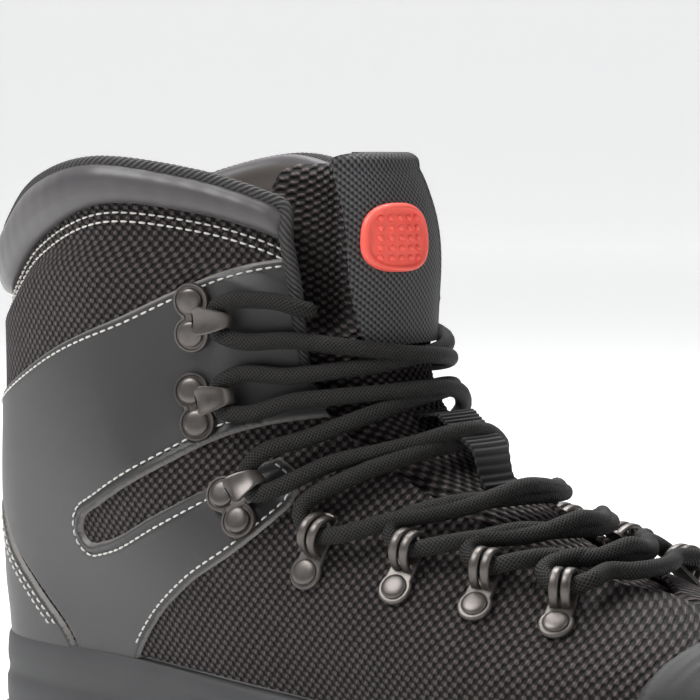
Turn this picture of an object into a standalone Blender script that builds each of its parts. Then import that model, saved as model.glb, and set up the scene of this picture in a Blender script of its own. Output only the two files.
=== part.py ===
"""Wading boot for the right foot, built as a maker would put it together.

The toe points along +X, the inner side of the foot along +Y and up is +Z. The origin is on the
floor under the middle of the boot. Every curved piece is worked out from one last: horizontal
sections, each an oval whose width, ends and reach come from the table LAST.
"""

import math

import bmesh
import bpy
import numpy as np

MM = 0.001

# Driving sizes
UPPER_LENGTH = 300 * MM
BALL_WIDTH = 104 * MM
COLLAR_HEIGHT = 182 * MM
UPPER_WALL = 2.2 * MM
CLEARANCE = 0.35 * MM

OUTSOLE_LENGTH = 312 * MM
SOLE_RIM = 5.0 * MM
MIDSOLE_RIM = 3.0 * MM
HEEL_STACK = 36 * MM
WAIST_STACK = 32 * MM
BALL_STACK = 25 * MM
TOE_STACK = 35 * MM
TOE_SPRING = 13 * MM
HEEL_SPRING = 4 * MM
ARCH_RISE = 7 * MM
LUG_DEPTH = 5.0 * MM
OUTSOLE_BASE = 5.0 * MM
INSOLE_THICK = 4.0 * MM
INSOLE_INSET = 6.0 * MM
INSOLE_END = 2.5 * MM

PANEL_THICK = 1.1 * MM
PANEL_GAP = 0.5 * MM
CAP_THICK = 1.5 * MM
COLLAR_STEP = 3.0 * MM
BAND_HEIGHT = 14 * MM
BAND_PROUD = 4.2 * MM
BAND_INSIDE = 4.6 * MM
BAND_RISE = 3.0 * MM

TONGUE_THICK = 8.0 * MM
TONGUE_TOP = 181.5 * MM
TONGUE_HALF = 37 * MM
LEAN_BACK = 8 * MM
LEAN_FROM = 150 * MM
STRAP_WIDTH = 36 * MM
STRAP_THICK = 1.6 * MM
STRAP_POINTS = 6
STRAP_LOW = 131 * MM
STRAP_BACK = 18 * MM
STRAP_SIDE = 0.5 * MM
STRAP_BACK_EDGE = -13 * MM
STRAP_SLANT = 0.16
PATCH_WIDTH = 22 * MM
PATCH_HEIGHT = 20 * MM
PATCH_THICK = 2.4 * MM
PATCH_LEVEL = 162 * MM
PATCH_SIDE = -4.2 * MM
KEEPER_WIDTH = 15 * MM
KEEPER_LENGTH = 20 * MM
KEEPER_THICK = 1.2 * MM
KEEPER_LEVEL = 101 * MM

LACE = 5.0 * MM
RIVET = 8.0 * MM
RIVET_HIGH = 2.2 * MM
RIVET_PITCH = 9.6 * MM
PLATE_THICK = 1.4 * MM
PLATE_RADIUS = 5.4 * MM
BILL_THICK = 1.5 * MM
RAIL = 2.2 * MM
RAIL_SPAN = 11.0 * MM
RAIL_PITCH = 3.4 * MM

# Sections of the last, bottom to top: height as a share of COLLAR_HEIGHT, back and front as shares
# of UPPER_LENGTH, half widths as shares of half of BALL_WIDTH, then how full each end of the oval
# is (1 is an ellipse, less is squarer) and how far the toe swings in, as a share of BALL_WIDTH.
LAST_COLUMNS = ("level", "back", "front", "heel", "waist_out", "waist_in", "ball_out", "ball_in",
                "heel_round", "front_round", "toe_swing")
LAST = (
    (0.110, 0.017, 0.980, 0.67, 0.77, 0.65, 0.98, 0.96, 0.60, 0.60, 0.077),
    (0.187, 0.003, 1.003, 0.73, 0.83, 0.73, 1.02, 1.00, 0.60, 0.61, 0.077),
    (0.242, 0.000, 0.993, 0.77, 0.87, 0.79, 1.00, 0.98, 0.62, 0.63, 0.067),
    (0.286, -0.003, 0.933, 0.79, 0.88, 0.83, 0.96, 0.94, 0.64, 0.68, 0.058),
    (0.330, -0.003, 0.843, 0.81, 0.89, 0.86, 0.92, 0.90, 0.66, 0.76, 0.048),
    (0.374, -0.003, 0.760, 0.83, 0.90, 0.88, 0.88, 0.87, 0.68, 0.82, 0.038),
    (0.429, -0.003, 0.683, 0.85, 0.91, 0.89, 0.85, 0.83, 0.70, 0.84, 0.029),
    (0.495, 0.000, 0.603, 0.87, 0.92, 0.90, 0.81, 0.79, 0.72, 0.84, 0.019),
    (0.571, 0.003, 0.533, 0.88, 0.92, 0.91, 0.77, 0.75, 0.76, 0.84, 0.010),
    (0.648, 0.003, 0.497, 0.88, 0.92, 0.92, 0.76, 0.76, 0.80, 0.84, 0.000),
    (0.725, 0.000, 0.490, 0.88, 0.92, 0.92, 0.77, 0.77, 0.84, 0.84, 0.000),
    (0.824, -0.007, 0.493, 0.88, 0.94, 0.94, 0.79, 0.79, 0.88, 0.86, 0.000),
    (0.934, -0.013, 0.500, 0.90, 0.96, 0.96, 0.81, 0.81, 0.90, 0.88, 0.000),
    (1.071, -0.020, 0.507, 0.92, 0.98, 0.98, 0.83, 0.83, 0.90, 0.88, 0.000),
)
# Collar line: way round from the heel (0) to the front (1), height as a share of COLLAR_HEIGHT.
TOPLINE = ((0.00, 0.862), (0.12, 0.868), (0.22, 0.895), (0.34, 0.962), (0.48, 1.000),
           (0.60, 0.982), (0.70, 0.950), (0.80, 0.905), (1.00, 0.880))
# Half width of the throat: height as a share of COLLAR_HEIGHT, half width as a share of BALL_WIDTH.
THROAT = ((0.360, 0.000), (0.372, 0.085), (0.395, 0.145), (0.440, 0.185), (0.550, 0.230),
          (0.720, 0.268), (0.790, 0.278), (0.880, 0.298), (1.000, 0.320))
# Rows of the upper's net, as levels between the sole and the collar.
ROWS = (0.00, 0.08, 0.15, 0.20, 0.235, 0.27, 0.31, 0.36, 0.43, 0.52, 0.63,
        0.74, 0.84, 0.90, 0.95, 1.00)
COLUMNS = 33
THROAT_ROW = 5

HEEL_X = -OUTSOLE_LENGTH / 2 + SOLE_RIM + 1.0 * MM
# The last swings inwards at the ball, so all of it moves out by this much to lie over the middle.
SIDE_SHIFT = 0.0073 * BALL_WIDTH


def column(table, names, name):
    """One column of a table as an array."""
    return np.array([row[names.index(name)] for row in table], float)


def curve_through(xs, ys, x):
    """Smooth curve through the points of a table: a cubic with the table's own slopes."""
    x = np.clip(np.asarray(x, float), xs[0], xs[-1])
    slope = np.gradient(ys, xs)
    i = np.clip(np.searchsorted(xs, x, side="right") - 1, 0, len(xs) - 2)
    step = xs[i + 1] - xs[i]
    t = (x - xs[i]) / step
    start = (2 * t**3 - 3 * t**2 + 1) * ys[i] + (t**3 - 2 * t**2 + t) * step * slope[i]
    end = (3 * t**2 - 2 * t**3) * ys[i + 1] + (t**3 - t**2) * step * slope[i + 1]
    return start + end


def pair_curve(table, x):
    """Smooth curve through a table of two columns."""
    rows = np.array(table, float)
    return curve_through(rows[:, 0], rows[:, 1], x)


def last_value(name, z):
    """A column of the last's table at height z, in its own shares."""
    levels = column(LAST, LAST_COLUMNS, "level")
    return curve_through(levels, column(LAST, LAST_COLUMNS, name), np.asarray(z) / COLLAR_HEIGHT)


def ease(t):
    """Runs smoothly from 0 to 1 as t does."""
    t = np.clip(t, 0, 1)
    return t * t * (3 - 2 * t)


def oval(way, z):
    """Point of the last at height z, a way of -1..1 round from the heel, outer side negative."""
    way, z = np.broadcast_arrays(np.asarray(way, float), np.asarray(z, float))
    outer = way < 0
    along = (1 - np.cos(np.pi * np.abs(way))) / 2
    heel = last_value("heel", z)
    waist = np.where(outer, last_value("waist_out", z), last_value("waist_in", z))
    ball = np.where(outer, last_value("ball_out", z), last_value("ball_in", z))
    half = heel + (waist - heel) * ease((along - 0.14) / 0.30) + (ball - waist) * ease((along - 0.44) / 0.28)
    power = last_value("heel_round", z)
    power = power + (last_value("front_round", z) - power) * ease(along)
    side = np.where(outer, -1.0, 1.0)
    y = side * half * BALL_WIDTH / 2 * np.clip(np.sin(np.pi * np.abs(way)), 0, 1) ** power
    y = y + last_value("toe_swing", z) * BALL_WIDTH * along**3 - SIDE_SHIFT
    back = last_value("back", z) * UPPER_LENGTH
    front = last_value("front", z) * UPPER_LENGTH
    return np.stack([HEEL_X + back + (front - back) * along, y, z], -1)


def outward(way, z):
    """Unit normal of the last, pointing out."""
    round_step = oval(way + 0.002, z) - oval(way - 0.002, z)
    rise_step = oval(way, z + 0.5 * MM) - oval(way, z - 0.5 * MM)
    normal = np.cross(rise_step, round_step)
    return normal / np.maximum(np.linalg.norm(normal, axis=-1, keepdims=True), 1e-12)


def surface(way, z, offset=0.0):
    """Point of the last moved out by offset."""
    return oval(way, z) + outward(way, z) * np.asarray(offset)[..., None]


def collar_line(way):
    """Height of the collar's edge, a way round from the heel."""
    return pair_curve(TOPLINE, np.abs(way)) * COLLAR_HEIGHT


def throat_way(z):
    """How far round the upper reaches at height z: 1 below the throat, less beside it."""
    half = pair_curve(THROAT, z / COLLAR_HEIGHT) * BALL_WIDTH
    half = np.where(z < THROAT[0][0] * COLLAR_HEIGHT, 0.0, np.maximum(half, 0.0))
    ball = last_value("ball_out", z) * BALL_WIDTH / 2
    share = np.clip(half / ball, 0, 1) ** (1 / last_value("front_round", z))
    return 1 - np.arcsin(share) / np.pi


def sole_station(x):
    """Share of the way from heel to toe."""
    return np.clip((x - HEEL_X) / UPPER_LENGTH, -0.05, 1.05)


def feather(x):
    """Height where the upper meets the sole."""
    table = ((-0.05, HEEL_STACK), (0.0, HEEL_STACK), (0.25, HEEL_STACK), (0.45, WAIST_STACK),
             (0.70, BALL_STACK), (0.85, (BALL_STACK + TOE_STACK) / 2 - 1.5 * MM), (1.0, TOE_STACK),
             (1.05, TOE_STACK))
    return pair_curve(table, sole_station(x))


def underside(x):
    """Height of the sole's lowest face: flat at heel and ball, raised at arch, toe and heel end."""
    t = sole_station(x)
    arch = ARCH_RISE * ease((t - 0.29) / 0.08) * ease((0.56 - t) / 0.10)
    toe = TOE_SPRING * np.clip((t - 0.76) / 0.26, 0, 1) ** 1.8
    heel = HEEL_SPRING * np.clip((0.05 - t) / 0.08, 0, 1) ** 1.5
    return arch + toe + heel


def outline(x, rim):
    """Outer and inner edge of the sole at x, as two arrays of y, rim beyond the last."""
    low = feather(x)
    back = HEEL_X + last_value("back", low) * UPPER_LENGTH - rim
    front = HEEL_X + last_value("front", low) * UPPER_LENGTH + rim
    along = np.clip((x - back) / (front - back), 0, 1)
    way = np.arccos(1 - 2 * along) / np.pi
    outer = oval(-way, low)[..., 1]
    inner = oval(way, low)[..., 1]
    swell = np.clip(np.sin(np.pi * way), 0, 1) ** 0.6 * rim
    return outer - swell, inner + swell


def stations(rim, count):
    """Places along the sole, closer together at its round ends."""
    low_x = HEEL_X - rim + 0.05 * MM
    high_x = HEEL_X + UPPER_LENGTH * last_value("front", TOE_STACK) + rim - 0.3 * MM
    turn = np.linspace(0, np.pi, count)
    return low_x + (high_x - low_x) * (1 - np.cos(turn)) / 2


def material(name, colour, roughness, metallic=0.0):
    """A plain finish."""
    made = bpy.data.materials.new(name)
    made.use_nodes = True
    shader = made.node_tree.nodes["Principled BSDF"]
    shader.inputs["Base Color"].default_value = (*colour, 1)
    shader.inputs["Roughness"].default_value = roughness
    shader.inputs["Metallic"].default_value = metallic
    return made


def new_object(name, points, faces, finish, helper=False):
    """A mesh object from points and faces, its doubles merged and its faces turned outwards."""
    mesh = bpy.data.meshes.new(name)
    mesh.from_pydata([tuple(p) for p in np.asarray(points).reshape(-1, 3)], [], faces)
    work = bmesh.new()
    work.from_mesh(mesh)
    bmesh.ops.remove_doubles(work, verts=work.verts, dist=1e-6)
    bmesh.ops.dissolve_degenerate(work, edges=work.edges, dist=1e-6)
    bmesh.ops.recalc_face_normals(work, faces=work.faces)
    work.to_mesh(mesh)
    work.free()
    made = bpy.data.objects.new(name, mesh)
    if helper:
        CUTTERS.objects.link(made)
        made.hide_render = True
        made.display_type = "WIRE"
    else:
        BOOT.objects.link(made)
        mesh.materials.append(finish)
        mesh.shade_smooth()
        mesh.set_sharp_from_angle(angle=math.radians(40))
    return made


def net_faces(rows, columns, closed=False):
    """Four-sided faces of a net of points."""
    faces = []
    for r in range(rows - 1):
        for c in range(columns if closed else columns - 1):
            d = (c + 1) % columns
            faces.append((r * columns + c, r * columns + d, (r + 1) * columns + d, (r + 1) * columns + c))
    return faces


def loft(name, rings, finish, helper=False):
    """A closed solid through rings of equally many points, capped at both ends."""
    rings = np.asarray(rings, float)
    count, size = rings.shape[:2]
    faces = net_faces(count, size, closed=True)
    faces.append(tuple(range(size)))
    faces.append(tuple(range((count - 1) * size, count * size)))
    return new_object(name, rings, faces, finish, helper)


def shell(made, thick, outwards):
    """Gives an open surface its wall, outwards or inwards."""
    wall = made.modifiers.new("wall", "SOLIDIFY")
    wall.thickness = thick
    wall.offset = 1 if outwards else -1
    return made


def boolean(made, other, operation):
    """Cuts, joins or keeps what is common with another object."""
    cut = made.modifiers.new(operation.lower(), "BOOLEAN")
    cut.operation = operation
    cut.object = other
    other.hide_render = True
    return made


def baked(made):
    """The object with its modifiers worked out into its mesh."""
    graph = bpy.context.evaluated_depsgraph_get()
    mesh = bpy.data.meshes.new_from_object(made.evaluated_get(graph))
    made.modifiers.clear()
    made.data = mesh
    return made


def joined(name, pieces, finish):
    """One solid from pieces that run into each other."""
    first = pieces[0]
    for other in pieces[1:]:
        boolean(first, other, "UNION")
    baked(first)
    for other in pieces[1:]:
        bpy.data.objects.remove(other)
    for collection in list(first.users_collection):
        collection.objects.unlink(first)
    BOOT.objects.link(first)
    first.name = name
    first.hide_render = False
    first.display_type = "TEXTURED"
    first.data.materials.clear()
    first.data.materials.append(finish)
    first.data.shade_smooth()
    first.data.set_sharp_from_angle(angle=math.radians(40))
    return first


def prism(name, corners, axis, low, high):
    """A straight cutter: corners in the plane across the axis, run from low to high."""
    rings = []
    for level in (low, high):
        ring = []
        for u, v in corners:
            ring.append((u, level, v) if axis == "Y" else (u, v, level))
        rings.append(ring)
    return loft(name, rings, None, helper=True)


def level_of(row, way):
    """Height of a row of the upper's net, a way round: from the sole's edge to the collar's."""
    low = feather(oval(way, TOE_STACK)[..., 0]) + 3 * CLEARANCE
    high = collar_line(way)
    split = 0.45
    middle = THROAT[0][0] * COLLAR_HEIGHT + (row - ROWS[THROAT_ROW]) * 0.8 * COLLAR_HEIGHT
    lower = low + (THROAT[0][0] * COLLAR_HEIGHT - low) * row / ROWS[THROAT_ROW]
    at_split = THROAT[0][0] * COLLAR_HEIGHT + (split - ROWS[THROAT_ROW]) * 0.8 * COLLAR_HEIGHT
    upper = at_split + (high - at_split) * (row - split) / (1 - split)
    return np.where(row <= ROWS[THROAT_ROW], lower, np.where(row <= split, middle, upper))


def collar_inset(way, z):
    """How far the upper steps in behind the padded band."""
    return COLLAR_STEP * ease((z - collar_line(way) + BAND_HEIGHT + 13 * MM) / (7 * MM))


def upper_net(offset):
    """The upper's surface moved out by offset: rows up from the sole, columns round from the heel."""
    rows, around = np.meshgrid(np.array(ROWS), np.linspace(-1, 1, COLUMNS), indexing="ij")
    z = level_of(rows, around)
    way = around * throat_way(z)
    z = level_of(rows, way)
    return surface(way, z, offset - collar_inset(way, z))


def skin(name, gap, thick, finish):
    """A larger form of the upper, gap outside it and thick, to cut an overlay from."""
    made = new_object(name, upper_net(gap), net_faces(len(ROWS), COLUMNS), finish)
    return shell(made, thick, outwards=True)


def make_upper():
    made = new_object("upper", upper_net(0.0), net_faces(len(ROWS), COLUMNS), KNIT)
    return shell(made, UPPER_WALL, outwards=False)


def from_heel(shares):
    """Side-view corners given as shares of UPPER_LENGTH from the heel and of COLLAR_HEIGHT."""
    return [(HEEL_X + along * UPPER_LENGTH, high * COLLAR_HEIGHT) for along, high in shares]


# The side panel's outline seen from the side: its top edge, the open slot and the lower finger.
PANEL = ((-0.040, 0.560), (0.045, 0.618), (0.173, 0.709), (0.253, 0.758), (0.313, 0.805),
         (0.373, 0.842), (0.407, 0.853), (0.480, 0.860), (0.480, 0.615), (0.393, 0.590),
         (0.367, 0.577), (0.300, 0.519), (0.220, 0.451), (0.193, 0.426), (0.187, 0.404),
         (0.197, 0.385), (0.220, 0.390), (0.300, 0.445), (0.367, 0.500), (0.393, 0.522),
         (0.423, 0.544), (0.447, 0.516), (0.447, 0.478), (0.433, 0.451), (0.403, 0.407),
         (0.340, 0.341), (0.280, 0.264), (0.247, 0.198), (0.233, 0.080), (0.160, 0.080),
         (0.150, 0.209), (0.097, 0.297), (0.057, 0.354), (0.023, 0.429), (-0.040, 0.490))
COUNTER = ((-0.060, 0.480), (0.018, 0.421), (0.052, 0.347), (0.092, 0.289), (0.145, 0.203),
           (0.155, 0.080), (-0.060, 0.080))
CAP_REACH = 0.868
CAP_SWEEP = 0.10


def make_panel(name, side):
    """One side panel, cut from a larger form of the upper by its own outline."""
    made = skin(name, PANEL_GAP, PANEL_THICK, LEATHER)
    near, far = 4 * MM, BALL_WIDTH
    low, high = (-far, -near) if side < 0 else (near, far)
    return boolean(made, prism(name + "_cutter", from_heel(PANEL), "Y", low, high), "INTERSECT")


def make_counter():
    made = skin("heel_counter", PANEL_GAP, CAP_THICK, LEATHER)
    cutter = prism("counter_cutter", from_heel(COUNTER), "Y", -BALL_WIDTH, BALL_WIDTH)
    return boolean(made, cutter, "INTERSECT")


def make_toe_cap():
    made = skin("toe_cap", PANEL_GAP, CAP_THICK, RUBBER)
    sides = np.linspace(-1, 1, 9)
    beside = 0.7 * BALL_WIDTH
    ahead = HEEL_X + 1.1 * UPPER_LENGTH
    corners = [(HEEL_X + (CAP_REACH - CAP_SWEEP * s * s) * UPPER_LENGTH, s * beside) for s in sides]
    corners += [(ahead, beside), (ahead, -beside)]
    return boolean(made, prism("cap_cutter", corners, "Z", 0, COLLAR_HEIGHT), "INTERSECT")


def make_collar_band():
    """The padded band: a turned-over roll that fits round the collar's edge."""
    inner = -UPPER_WALL - 5 * CLEARANCE
    profile = ((1.5 * CLEARANCE, -BAND_HEIGHT), (0.6 * BAND_PROUD, 0.6 * MM - BAND_HEIGHT),
               (BAND_PROUD, -0.68 * BAND_HEIGHT), (BAND_PROUD, -0.3 * BAND_HEIGHT),
               (0.5 * BAND_PROUD, 0.5 * BAND_RISE),
               (inner - 0.3 * BAND_INSIDE, BAND_RISE), (inner - BAND_INSIDE, 0.0),
               (inner - BAND_INSIDE, -0.6 * BAND_HEIGHT),
               (inner, -0.8 * BAND_HEIGHT), (inner, 4 * CLEARANCE), (1.5 * CLEARANCE, 4 * CLEARANCE))
    around = np.linspace(-1, 1, COLUMNS)
    way = around * throat_way(collar_line(around))
    top = collar_line(way)
    rings = []
    for place, high in zip(around, top):
        ring = []
        short = 1 - 0.35 * abs(place) ** 4
        for proud, rise in profile:
            rise = rise * short if rise < 0 else rise
            level = high + min(rise, 0.0)
            here = place * throat_way(np.array(level))
            out = outward(here, level) * (1, 1, 0)
            out /= np.linalg.norm(out)
            point = surface(here, level, -collar_inset(here, level)) + out * proud
            ring.append((point[0], point[1], high + rise))
        rings.append(ring)
    return loft("collar_band", rings, LEATHER)


# Rows of lugs: where each starts and ends along the foot, as shares of UPPER_LENGTH, then the
# reach of its blocks across, as shares of the half width from the outer (-1) to the inner (1) edge.
HEEL_LUGS = ((0.005, 0.060), (0.082, 0.135), (0.157, 0.210), (0.232, 0.275))
WAIST_LUGS = ((0.330, 0.365), (0.405, 0.440))
BALL_LUGS = ((0.480, 0.525), (0.550, 0.595), (0.620, 0.665), (0.690, 0.735), (0.760, 0.805), (0.830, 0.875))
TOE_LUGS = ((0.900, 0.940), (0.962, 1.000))
THREE_ACROSS = ((-0.985, -0.45), (-0.30, 0.30), (0.45, 0.985))
TWO_ACROSS = ((-0.96, -0.12), (0.12, 0.96))
EDGES_ONLY = ((-0.96, -0.62), (0.62, 0.96))


def lug_corners(start, end, left, right):
    """Eight corners of one lug, its lower face on the sole's underside."""
    corners = []
    for x_share, y_share in ((start, left), (end, left), (end, right), (start, right)):
        x = HEEL_X + x_share * UPPER_LENGTH
        outer, inner = outline(np.array(x), SOLE_RIM)
        y = (outer + inner) / 2 + y_share * (inner - outer) / 2
        corners.append((x, float(y), float(underside(x))))
    top = [(x, y, z + LUG_DEPTH + 0.3 * OUTSOLE_BASE) for x, y, z in corners]
    return corners + top


def make_outsole():
    """A slab along the foot with its lugs standing down from it."""
    rings = []
    for x in stations(SOLE_RIM, 26):
        outer, inner = (float(v) for v in outline(x, SOLE_RIM))
        low = float(underside(x)) + LUG_DEPTH
        high = low + OUTSOLE_BASE
        bevel = min(1.5 * MM, 0.2 * (inner - outer))
        rings.append(((x, outer + bevel, low), (x, outer, low + 1.5 * MM), (x, outer, high - 1 * MM),
                      (x, outer + bevel, high), (x, inner - bevel, high), (x, inner, high - 1 * MM),
                      (x, inner, low + 1.5 * MM), (x, inner - bevel, low)))
    slab = loft("outsole", rings, RUBBER)
    groups = ((HEEL_LUGS, TWO_ACROSS), (WAIST_LUGS, EDGES_ONLY), (BALL_LUGS, THREE_ACROSS),
              (TOE_LUGS, TWO_ACROSS))
    points = []
    faces = []
    for rows, across in groups:
        for start, end in rows:
            for left, right in across:
                base = len(points)
                points += lug_corners(start, end, left, right)
                box = ((0, 1, 2, 3), (4, 7, 6, 5), (0, 4, 5, 1), (1, 5, 6, 2), (2, 6, 7, 3), (3, 7, 4, 0))
                faces += [tuple(base + i for i in face) for face in box]
    lugs = new_object("lugs", points, faces, None, helper=True)
    return boolean(slab, lugs, "UNION")


def make_midsole():
    """The wedge between outsole and upper, with a rib along its side."""
    rings = []
    for x in stations(MIDSOLE_RIM, 26):
        outer, inner = (float(v) for v in outline(x, MIDSOLE_RIM))
        low = float(underside(x)) + LUG_DEPTH + OUTSOLE_BASE + CLEARANCE
        high = float(feather(x))
        middle = low + 0.45 * (high - low)
        rib = min(1.0 * MM, 0.1 * (inner - outer))
        rings.append(((x, outer + rib, low), (x, outer, middle), (x, outer + rib, middle + 1.2 * MM),
                      (x, outer + rib, high), (x, inner - rib, high),
                      (x, inner - rib, middle + 1.2 * MM), (x, inner, middle), (x, inner - rib, low)))
    return loft("midsole", rings, FOAM)


def make_insole():
    """The footbed inside, a flat sheet with raised edges."""
    rings = []
    for x in stations(-INSOLE_INSET - INSOLE_END, 16):
        outer, inner = (float(v) for v in outline(x, -INSOLE_INSET))
        low = float(feather(x)) + CLEARANCE
        edge = min(3 * MM, 0.2 * (inner - outer))
        cup = low + 0.6 * INSOLE_THICK
        rim = low + INSOLE_THICK
        rings.append(((x, outer, low), (x, outer, rim), (x, outer + edge, cup),
                      (x, inner - edge, cup), (x, inner, rim), (x, inner, low)))
    return loft("insole", rings, LINING)


# Half width of the tongue: height as a share of COLLAR_HEIGHT, half width as a share of TONGUE_HALF.
TONGUE_SIDES = ((0.332, 0.44), (0.380, 0.62), (0.480, 0.80), (0.650, 0.94), (0.850, 1.00), (1.060, 0.92))


def way_at(y, z):
    """How far round the last's front the point lies that is y to the side at height z."""
    y = np.asarray(y, float)
    ball = np.where(y < -SIDE_SHIFT, last_value("ball_out", z), last_value("ball_in", z)) * BALL_WIDTH / 2
    centre = last_value("toe_swing", z) * BALL_WIDTH - SIDE_SHIFT
    share = np.clip(np.abs(y - centre) / ball, 0, 1) ** (1 / last_value("front_round", z))
    way = 1 - np.arcsin(share) / np.pi
    return np.where(y < centre, -way, way)


def lean_back(z):
    """How far the tongue's free top leans back from the last."""
    return LEAN_BACK * np.clip((z - LEAN_FROM) / (TONGUE_TOP - LEAN_FROM), 0, 1) ** 2


def tongue_offset(y, z):
    """The tongue swells out between the two sides of the throat and runs in under them."""
    half = pair_curve(THROAT, z / COLLAR_HEIGHT) * BALL_WIDTH
    under = -UPPER_WALL - 5 * CLEARANCE
    behind_band = -COLLAR_STEP - UPPER_WALL - BAND_INSIDE - 7 * CLEARANCE
    band_low = (0.86 * COLLAR_HEIGHT - BAND_HEIGHT) - 2 * MM
    tucked = under + (behind_band - under) * ease((z - band_low + 10 * MM) / (10 * MM))
    behind = ease((z - band_low + 10 * MM) / (10 * MM))
    swell = ease((half - (2 + 6 * behind) * MM - np.abs(y + SIDE_SHIFT)) / (7 * MM))
    swell = swell * ease((z - 0.405 * COLLAR_HEIGHT) / (14 * MM))
    return tucked + (-0.4 * MM - tucked) * swell - lean_back(z)


def tongue_rows():
    """Heights of the tongue's sections, closer together near its rounded top."""
    low = TONGUE_SIDES[0][0] * COLLAR_HEIGHT
    return np.concatenate([np.linspace(low, 0.97 * TONGUE_TOP, 11), [TONGUE_TOP]])


def make_tongue():
    rings = []
    across = np.linspace(-1, 1, 9)
    for z in tongue_rows():
        half = float(pair_curve(TONGUE_SIDES, z / COLLAR_HEIGHT)) * TONGUE_HALF
        rounded = 0.0 if z < TONGUE_TOP else 1.5 * MM
        y = across * (half - rounded) - SIDE_SHIFT
        way = way_at(y, z)
        front = tongue_offset(y, z) - rounded
        thick = 3 * MM + (TONGUE_THICK - 3 * MM) * (1 - across**4)
        outer = surface(way, z + 0 * y, front)
        inner = surface(way, z + 0 * y, front - thick + 2 * rounded)
        rings.append(np.concatenate([outer, inner[::-1]]))
    return loft("tongue", rings, KNIT)


def strap_middle(z):
    """The strap leans to the outer side as it rises."""
    return STRAP_SIDE - STRAP_SLANT * (z - STRAP_LOW)


def strap_path():
    """Places down the strap: (offset from the last, height), from its lower end over the tongue's top."""
    front = -0.4 * MM + 1.5 * CLEARANCE
    back = front - TONGUE_THICK - 3 * CLEARANCE
    middle = (front + back) / 2
    bend = (front - back) / 2
    rows = [(front, z) for z in np.linspace(STRAP_LOW, TONGUE_TOP - 1 * MM, 6)]
    for turn in np.linspace(0.2, 0.8, 3) * np.pi:
        rows.append((middle + bend * math.cos(turn), TONGUE_TOP + 1.0 * MM + 0.6 * bend * math.sin(turn)))
    rows += [(back, z) for z in np.linspace(TONGUE_TOP - 2 * MM, TONGUE_TOP - STRAP_BACK, 2)]
    return rows


def strap_net():
    """The strap's inner face: rows along its length, points across."""
    net = []
    for offset, z in strap_path():
        low = min(z, TONGUE_TOP)
        back = lean_back(low)
        y = strap_middle(low) + np.linspace(-1, 1, STRAP_POINTS) * STRAP_WIDTH / 2
        if offset < -0.5 * TONGUE_THICK:
            y = np.linspace(max(y[0], STRAP_BACK_EDGE), y[-1], STRAP_POINTS)
        way = way_at(y, low)
        if offset < -0.5 * TONGUE_THICK:
            offset = tongue_offset(y, low) - TONGUE_THICK - 7.5 * CLEARANCE
            back = 0.0
        row = surface(way, low + 0 * y, offset - back + 0 * y)
        row[:, 2] = z
        net.append(row)
    return np.array(net)


def make_strap():
    net = strap_net()
    made = new_object("pull_strap", net, net_faces(len(net), STRAP_POINTS), WEBBING)
    return shell(made, STRAP_THICK, outwards=True)


def make_patch():
    """A soft raised patch with a rim, on the strap's front."""
    profile = ((0.05, 0.0), (0.6, 0.0), (1.0, 0.0), (1.0, 0.8), (0.88, 1.0), (0.80, 0.7), (0.05, 0.72))
    base = -0.4 * MM + 1.5 * CLEARANCE + STRAP_THICK + 2.6 * CLEARANCE
    turn = np.linspace(0, 2 * np.pi, 14, endpoint=False)
    rings = []
    for share, high in profile:
        middle = strap_middle(PATCH_LEVEL) + PATCH_SIDE
        y = middle + share * PATCH_WIDTH / 2 * np.sign(np.cos(turn)) * np.abs(np.cos(turn)) ** 0.8
        z = PATCH_LEVEL + share * PATCH_HEIGHT / 2 * np.sign(np.sin(turn)) * np.abs(np.sin(turn)) ** 0.8
        rings.append(surface(way_at(y, z), z, base + high * PATCH_THICK - lean_back(z)))
    return loft("strap_patch", rings, PATCH_RED)


def make_keeper():
    """A short loop of ribbed webbing that stands over the lace."""
    rings = []
    for step in np.linspace(-1, 1, 8):
        z = KEEPER_LEVEL + step * KEEPER_LENGTH / 2
        high = -0.4 * MM + 2 * CLEARANCE + (LACE + 3.6 * MM) * ease((1 - abs(step)) / 0.55)
        y = np.linspace(-1, 1, 3) * KEEPER_WIDTH / 2
        way = way_at(y, z)
        lower = surface(way, z + 0 * y, high + 0 * y)
        upper = surface(way, z + 0 * y, high + KEEPER_THICK + 0 * y)
        rings.append(np.concatenate([lower, upper[::-1]]))
    return loft("lace_keeper", rings, WEBBING)


# Speed hooks: way round and height of the middle of each plate, and how far its two rivets lean.
HOOKS = ((0.611, 0.762, 0.0), (0.598, 0.617, 14.0), (0.571, 0.463, 40.0))
# Lace loops: way round and height of each rivet, and how far the rails lean to the front.
LOOPS = ((0.586, 0.374, 15.0), (0.656, 0.360, 10.0), (0.710, 0.343, 6.0), (0.760, 0.324, 2.0))
# Height on the instep of each place where the lace crosses itself, as a share of COLLAR_HEIGHT.
CROSSINGS = (0.700, 0.628, 0.552, 0.470, 0.425, 0.388)
BAR_LEVEL = 0.372
SIDES = (("outer", -1), ("inner", 1))


class Seat:
    """A place on the upper: along points to the throat, up rises with the surface, out leaves it."""

    def __init__(self, way, level, lean, side, lift):
        z = level * COLLAR_HEIGHT
        self.out = outward(side * way, z)
        rise = np.array((0.0, 0.0, 1.0))
        rise = rise - self.out * (rise @ self.out)
        rise /= np.linalg.norm(rise)
        front = np.cross(rise, self.out) * -side
        turn = math.radians(lean)
        self.up = rise * math.cos(turn) - front * math.sin(turn)
        self.along = front * math.cos(turn) + rise * math.sin(turn)
        self.foot = surface(side * way, z, 0.0) + self.out * lift

    def at(self, along, up, out):
        return self.foot + self.along * along + self.up * up + self.out * out


def hook_seat(index, side):
    lift = PANEL_GAP + PANEL_THICK + 4 * CLEARANCE
    return Seat(*HOOKS[index], side, lift)


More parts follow.
